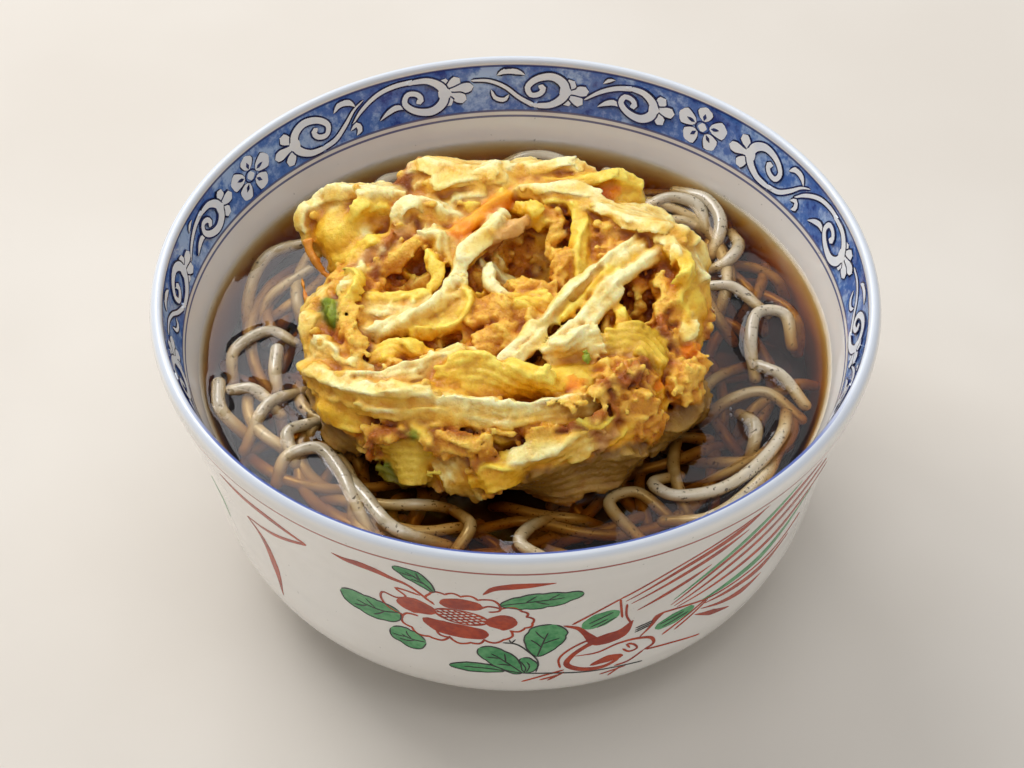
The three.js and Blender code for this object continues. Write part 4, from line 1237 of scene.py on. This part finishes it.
def top_height(x, y):
    radius = np.hypot(x - FRITTER_CENTRE[0], y - FRITTER_CENTRE[1])
    rim = RIM_HEIGHT * np.exp(-((radius - RIM_RADIUS) / RIM_WIDTH) ** 2)
    dips = sum(depth * np.exp(-((x - hollow_x) / half_x) ** 2 - ((y - hollow_y) / half_y) ** 2)
               for hollow_x, hollow_y, half_x, half_y, depth in HOLLOWS)
    return TOP_HEIGHT + TOP_TILT * (y - FRITTER_CENTRE[1]) + rim - dips


def side_radius(z, angle):
    share = np.clip((z - FRITTER_BOTTOM) / SIDE_HEIGHT, 0, 1)
    return np.interp(share, SIDE_SHARES, SIDE_RADII) + 1.2 * np.sin(2 * angle + 0.6) + 0.9 * np.sin(5 * angle)


def fritter_core(field):
    """The puck under the strips, as distances."""
    dx, dy = field.x - FRITTER_CENTRE[0], field.y - FRITTER_CENTRE[1]
    side = np.hypot(dx, dy) - side_radius(field.z, np.arctan2(dy, dx))
    top = field.z - top_height(field.x, field.y)
    return np.maximum(np.maximum(side, top), FRITTER_BOTTOM - field.z).astype(np.float32)


def top_fillers(random, count, width, thickness, length, lift):
    """Strips strewn over the top, following its hollows."""
    centre_x, centre_y = FRITTER_CENTRE[:2]
    out = []
    for _ in range(count):
        radius = STREWN_RADIUS * math.sqrt(random.uniform(0, 1))
        angle = random.uniform(0, 2 * math.pi)
        heading = angle + math.pi / 2 + random.normal(0, 0.35 + 1.2 * (1 - radius / STREWN_RADIUS))
        bend = random.normal(0, 0.045)
        reach = random.uniform(*length)
        raised = random.uniform(*lift)
        x = centre_x + radius * math.cos(angle) - reach / 2 * math.cos(heading)
        y = centre_y + radius * math.sin(angle) - reach / 2 * math.sin(heading)
        path = []
        for k in range(5):
            out_by = max(math.hypot(x - centre_x, y - centre_y) - SAG_START, 0)
            sag = SAG * out_by ** 2
            path.append((x, y, top_height(x, y) + raised - sag + 0.5 * math.sin(3 * k + angle)))
            x += reach / 4 * math.cos(heading)
            y += reach / 4 * math.sin(heading)
            heading += bend * reach / 4
        if out_by < 8:
            out.append((path, random.uniform(*width), random.uniform(*thickness)))
    return out


def side_fillers(random, count, width, thickness, length, lift):
    """Strips laid round the side, mostly level."""
    centre_x, centre_y = FRITTER_CENTRE[:2]
    out = []
    for _ in range(count):
        angle = random.uniform(0, 2 * math.pi)
        z = random.uniform(*SIDE_START)
        slope = random.normal(0, 0.35)
        reach = random.uniform(*length)
        raised = random.uniform(*lift)
        path = []
        for _ in range(5):
            radius = side_radius(z, angle) + raised
            path.append((centre_x + radius * math.cos(angle), centre_y + radius * math.sin(angle), z))
            angle += reach / 4 / radius * math.cos(slope)
            z = min(max(z + reach / 4 * math.sin(slope), SIDE_LOW), SIDE_HIGH)
        out.append((path, random.uniform(*width), random.uniform(*thickness)))
    return out


def edge_crumbs(random, path, width):
    """Places of crumbs of batter along both edges of a strip."""
    line = spline(path, 1.0)
    side = unit(np.cross(tangents(line), unit(line - FRITTER_CENTRE)))
    picked = random.integers(0, len(line), len(line) // 4)
    out_by = random.choice([-1, 1], len(picked)) * width * random.uniform(0.36, 0.5)
    return line[picked] + side[picked] * out_by[:, None]


def flood(free, seed):
    """Cells of a boolean grid that are reached from the seed through free cells."""
    reached = seed & free
    while True:
        before = int(reached.sum())
        for axis in range(3):
            moved = np.moveaxis(reached, axis, 0)
            open_cells = np.moveaxis(free, axis, 0)
            for i in range(1, len(moved)):
                moved[i] |= moved[i - 1] & open_cells[i]
            for i in range(len(moved) - 2, -1, -1):
                moved[i] |= moved[i + 1] & open_cells[i]
        if int(reached.sum()) == before:
            return reached


def surface_net(f):
    """Vertices in grid units and outward quads of the zero surface of a grid."""
    inside = f < 0
    count = np.zeros(tuple(n - 1 for n in f.shape), np.uint8)
    corner = [(i, j, k) for i in (0, 1) for j in (0, 1) for k in (0, 1)]
    for i, j, k in corner:
        count += inside[i:i + count.shape[0], j:j + count.shape[1], k:k + count.shape[2]]
    cells = np.argwhere((count > 0) & (count < 8))
    index = np.full(count.shape, -1, np.int32)
    index[tuple(cells.T)] = np.arange(len(cells))
    total = np.zeros((len(cells), 3))
    hits = np.zeros(len(cells))
    for a in corner:
        for axis in range(3):
            if a[axis]:
                continue
            b = tuple(v + (i == axis) for i, v in enumerate(a))
            fa = f[tuple((cells + a).T)]
            fb = f[tuple((cells + b).T)]
            crossing = (fa < 0) != (fb < 0)
            part = np.where(crossing, fa / np.where(crossing, fa - fb, 1), 0)
            at = np.array(a) + part[:, None] * np.eye(3)[axis]
            total[crossing] += at[crossing]
            hits[crossing] += 1
    points = cells + total / hits[:, None]
    quads = []
    for axis in range(3):
        a, b = [i for i in range(3) if i != axis]
        f0 = np.moveaxis(inside, axis, 0)[:-1]
        f1 = np.moveaxis(inside, axis, 0)[1:]
        f0, f1 = np.moveaxis(f0, 0, axis), np.moveaxis(f1, 0, axis)
        edges = np.argwhere(f0 != f1)
        edges = edges[(edges[:, a] > 0) & (edges[:, b] > 0)]
        edges = edges[(edges[:, a] < f.shape[a] - 1) & (edges[:, b] < f.shape[b] - 1)]
        shift_a, shift_b = np.eye(3, dtype=int)[a], np.eye(3, dtype=int)[b]
        ring = [edges - shift_a - shift_b, edges - shift_b, edges, edges - shift_a]
        quad = np.stack([index[tuple(c.T)] for c in ring], -1)
        flip = f0[tuple(edges.T)] ^ (axis == 1)
        quad[~flip] = quad[~flip][:, ::-1]
        quads.append(quad)
    return points, np.vstack(quads)


def blur(values, cells):
    """Box blur of a grid along each axis."""
    width = 2 * cells + 1
    for axis in range(3):
        padding = [(cells + 1, cells) if i == axis else (0, 0) for i in range(3)]
        run = np.cumsum(np.pad(values, padding, mode="edge"), axis, dtype=np.float32)
        count = values.shape[axis]
        values = (run.take(range(width, width + count), axis) - run.take(range(count), axis)) / width
    return values


def thinned(piece, most):
    """Collapses edges until the piece has at most so many triangles."""
    count = sum(len(p.vertices) - 2 for p in piece.data.polygons)
    if count > most:
        modifier = piece.modifiers.new("thin", "DECIMATE")
        modifier.ratio = most / count
        seen = piece.evaluated_get(bpy.context.evaluated_depsgraph_get())
        thin = bpy.data.meshes.new_from_object(seen)
        piece.modifiers.clear()
        piece.data = thin
        for polygon in thin.polygons:
            polygon.use_smooth = True


def under_ceiling(places):
    """The highest crags drawn down smoothly, towards a height just over the solid's."""
    over = np.maximum(places[:, 2] - CEILING_START, 0)
    lowered = CEILING_START + CEILING_REACH * (1 - np.exp(-over / CEILING_REACH))
    return np.column_stack([places[:, :2], np.where(over > 0, lowered, places[:, 2])])


def closed_body(f, seed_point=None):
    """The grid without sealed hollows and, where a seed is given, without loose scraps."""
    border = np.ones(f.shape, bool)
    border[1:-1, 1:-1, 1:-1] = False
    f[border] = np.maximum(f[border], 0.5)
    outside = flood(f >= 0, border)
    f = np.where(~outside & (f >= 0), -0.3, f)
    if seed_point is not None:
        seed = np.zeros(f.shape, bool)
        seed[tuple(((seed_point - FIELD_LOW) / VOXEL).astype(int))] = True
        f = np.where((f < 0) & ~flood(f < 0, seed), 0.3, f)
    return f


def softened(values, quads, rounds):
    """Values of the vertices, averaged over their faces."""
    for _ in range(rounds):
        middle = values[quads].mean(1)
        total = np.zeros_like(values)
        hits = np.zeros(len(values))
        for corner in range(4):
            np.add.at(total, quads[:, corner], middle)
            np.add.at(hits, quads[:, corner], 1)
        values = total / hits[:, None]
    return values


def lay(body, strips, random, kind, path, width, thickness, softness):
    """Lays a strip. A smooth one is also in the body, slightly thinner, so that batter joins them."""
    tone = random.uniform(0, 1)
    where, d, fibres = body.strip(path, width, thickness, tone)
    tone = tone - 0.4 * fibres
    number = KINDS.index(kind)
    if kind in SMOOTH_KINDS:
        body.merge(where, d + 0.2, number, tone, BODY_BLEND)
        strips.merge(where, d, number, tone, STRIP_BLEND)
    else:
        body.merge(where, d, number, tone, softness)


def heap_up(body, strips):
    """Fills both grids, from the puck and the short strips under the top to the long strips that show."""
    random = np.random.default_rng(FRITTER_SEED)
    body.merge((slice(None),) * 3, fritter_core(body), 0, 0.5, 1.0)
    fillers = top_fillers(random, *TOP_FILLERS) + side_fillers(random, *SIDE_FILLERS)
    for i, filler in enumerate(fillers):
        lay(body, strips, random, FILLER_KINDS[i % len(FILLER_KINDS)], *filler, 1.0)
    for shred in top_fillers(random, *TOP_SHREDS) + side_fillers(random, *SIDE_SHREDS):
        lay(body, strips, random, "crust", *shred, 1.0)
    for pit in PITS:
        body.hollow(*pit)
        strips.hollow(*pit)
    # Room above the pale strips, so that nothing laid before covers them.
    for kind, width, thickness, path in STRIPS:
        if kind in SMOOTH_KINDS + ("leek",):
            for clear in (1.2, 3.0):
                raised = np.array(path) + clear * unit(np.array(path) - FRITTER_CENTRE)
                where, d, _ = body.strip(raised, width * 0.9, thickness, 0.5)
                body.cut(where, -d)
                strips.cut(where, -d)
    for kind, centre, size in PUFFS:
        tone, number = random.uniform(0, 1), KINDS.index(kind)
        body.lump(centre, np.array(size) - 0.2, number, tone, 2.5)
        if kind in SMOOTH_KINDS:
            strips.lump(centre, size, number, tone, 2.0)
    for kind, width, thickness, path in STRIPS:
        lay(body, strips, random, kind, path, width, thickness, 0.8)
        if kind == "onion" and width > 4:
            for crumb in edge_crumbs(random, path, width):
                body.lump(crumb, random.uniform(0.5, 1.0), CRUST, random.uniform(0, 1), 0.8)
    # Batter that webs the narrow gaps, and crumbs on the rough places.
    whole = np.minimum(body.distance, strips.distance)
    web = blur(np.clip(whole, -1.5, 2.5), WEB_REACH)
    body.distance = np.minimum(body.distance, web + WEB_LEVEL)
    near = np.argwhere((np.abs(body.distance) < 0.3) & (body.z > 58) & np.isin(body.kind, ROUGH_KINDS))
    for cell in near[random.integers(0, len(near), CRUMBS)]:
        size = random.uniform(0.35, 0.9)
        body.lump(FIELD_LOW + cell * VOXEL, size, CRUST, random.uniform(0, 1), 0.35)


def make_kakiage():
    """The fritter's crusty body and its smooth strips; returns its outline at the level of the broth."""
    body, strips = Field(), Field()
    heap_up(body, strips)
    coarse, middle, small = (lattice_noise(body.shape, VOXEL, *grain) for grain in GRAINS)
    crusty = blur(np.isin(body.kind, ROUGH_KINDS).astype(np.float32), 2)
    dry = np.clip((body.z - 57) / 2, 0, 1)
    crumbly = crusty * np.clip(0.3 + (body.x + 5) / 50, 0.3, 1)
    relief = 0.2 * middle + 0.14 * small + crumbly * (0.6 * (np.abs(middle) - 0.35) + 0.5 * small)
    body.distance += dry * (0.3 * coarse + relief)
    strips.distance += 0.4 * coarse + 0.34 * middle + 0.3 * small
    body.distance = closed_body(body.distance, FRITTER_CENTRE)
    strips.distance = closed_body(strips.distance)
    # Shares of solid near each point, and how far its surface faces up: they set the painted shade in hollows
    # and the painted light on tops in the tint.
    solid = (np.minimum(body.distance, strips.distance) < 0).astype(np.float32)
    near_share, wide_share = blur(blur(solid, 2), 1), blur(blur(solid, 5), 3)
    upward = unit(np.stack(np.gradient(-blur(solid, 2)), -1))[..., 2]
    material = fried_batter()
    for name, field in (("kakiage_body", body), ("kakiage_strips", strips)):
        points, quads = surface_net(field.distance)
        at = tuple(np.clip(np.round(points).astype(int), 0, np.array(field.shape) - 1).T)
        places = under_ceiling(FIELD_LOW + points * VOXEL)
        piece = node_mesh(name, places, quads)
        tint = batter_tint(places[:, 2], field.kind[at], field.tone[at],
                           *(grid[at] for grid in (near_share, wide_share, upward, middle, coarse)))
        rough = np.isin(field.kind[at], ROUGH_KINDS).astype(float)
        set_colour(piece, "tint", softened(np.column_stack([tint, rough]), quads, 2))
        thinned(piece, MOST_TRIANGLES)
        place(piece, material, "fried_batter", "kakiage")
        if field is body:
            waterline = places[np.abs(places[:, 2] - BROTH_LEVEL) < 0.4][:, :2]
    return waterline[::6]


# sRGB colours of each kind at the two ends of its tint: the first as in the painted shade of hollows, the
# second as in the painted light on ridges and tops.
BATTER_TONES = {
    "core": ((200, 126, 30), (240, 188, 76)), "onion": ((238, 184, 66), (255, 248, 208)),
    "yellow": ((236, 174, 34), (255, 230, 116)), "crust": ((208, 134, 32), (252, 210, 104)),
    "carrot": ((236, 126, 6), (252, 182, 44)), "mauve": ((170, 108, 52), (226, 180, 116)),
    "brown": ((138, 70, 16), (190, 112, 34)), "leek": ((206, 164, 40), (240, 210, 92)),
    "soaked": ((130, 94, 34), (192, 156, 84)), "green": ((70, 104, 20), (140, 156, 44)),
    "stick": ((170, 96, 24), (216, 144, 50)), "speck": ((26, 18, 10), (52, 38, 20))}


def batter_tint(height, kind, tone, near_share, wide_share, upward, grain, cloud):
    """Colour of each point: painted light makes ridges and tops paler, painted shade makes hollows browner,
    and rough crust is browner too.
    """
    low, high = (np.array([linear(*BATTER_TONES[k][i]) for k in KINDS])[kind] for i in (0, 1))
    # Painted light: paler where little solid is near, where the surface faces up and on the highest parts;
    # random tone, cloud and grain shift it too.
    painted_light_and_tone = -0.08 + (0.5 - near_share) * 2.2 + (0.5 - wide_share) * 1.8 + 0.85 * (upward - 0.2)
    painted_light_and_tone += 0.2 * np.clip((height - 77) / 5, 0, 1)
    painted_light_and_tone = np.clip(painted_light_and_tone + 0.4 * (tone - 0.4) + 0.35 * cloud + 0.15 * grain, 0, 1)
    colour = low * (high / low) ** painted_light_and_tone[:, None]
    rough = np.isin(kind, ROUGH_KINDS)
    # Browner by the grain, more on rough crust, which is the batter's own colour; browner by the shares of
    # solid about each point, which is painted shade in hollows and crevices, darkest in the deep ones.
    for amount, darker in (
            ((grain - 0.1) * 1.5 * np.where(rough, 1.0, 0.4), (0.82, 0.6, 0.28)),
            ((wide_share - 0.51) * 4.6, (0.86, 0.64, 0.28)), ((near_share - 0.55) * 6.0, (0.68, 0.48, 0.26)),
            ((wide_share - 0.6) * 5.0, (0.36, 0.22, 0.16))):
        colour = colour * np.array(darker) ** np.clip(amount, 0, 1)[:, None]
    colour = np.maximum(colour, linear(84, 36, 8))
    soaked = np.clip((BROTH_LEVEL + 4.5 - height) / 5, 0, 1)[:, None] * 0.6
    return (colour * (1 - soaked) + linear(140, 98, 40) * soaked) * (1.05, 1.01, 0.8)


def fried_batter():
    """Crisp batter: its raised grain is painted paler, as lit, and the pits between are painted darker, as
    shaded.
    """
    n = Nodes("fried_batter")
    attribute = n.add("Attribute", attribute_name="tint").outputs
    tint, rough = attribute["Color"], attribute["Alpha"]
    height = n.plus(n.times(n.noise(850.0, 4.0, 0.58), 0.75), n.times(n.noise(2300.0, 2.0, 0.6), 0.25))
    # Painted highlight on the raised grain and painted shade in the pits, both following the height of the
    # bump.
    raised = n.times(n.step(height, 0.5, 0.64), n.grown(rough, 0.1, 0.3))
    pit_shade = n.times(n.rest(n.step(height, 0.36, 0.48)), n.grown(rough, 0.3, 0.32))
    tone = n.tinted(raised, tint, (1.15, 1.2, 1.35))
    tone = n.mix(pit_shade, tone, n.mix(1.0, tint, (0.74, 0.5, 0.2), "MULTIPLY"))
    golden = n.times(n.step(n.noise(260.0, 4.0, 0.6), 0.5, 0.66), 0.5)
    relief = n.bump(height, 0.0009, n.grown(rough, 0.4, 0.6))
    return n.principled({
        "Base Color": n.tinted(golden, tone, (0.95, 0.79, 0.42)),
        "Roughness": n.grown(rough, 0.1, n.grown(n.noise(180.0, 3.0), 0.3, 0.05)),
        "Normal": relief, "Coat Normal": relief, "Specular IOR Level": 0.22,
        "Subsurface Weight": 0.35, "Subsurface Radius": (1.0, 0.7, 0.2), "Subsurface Scale": 0.0014,
        "Coat Weight": 0.2, "Coat Roughness": 0.06})


# =====================================================================================
# Everything
# =====================================================================================
make_camera()
make_stage()
make_bowl()
paint_band()
paint_outside()
strands = noodle_lines()
waterline = make_kakiage()
make_noodles(strands)
make_broth(strands, waterline)
make_bubbles()
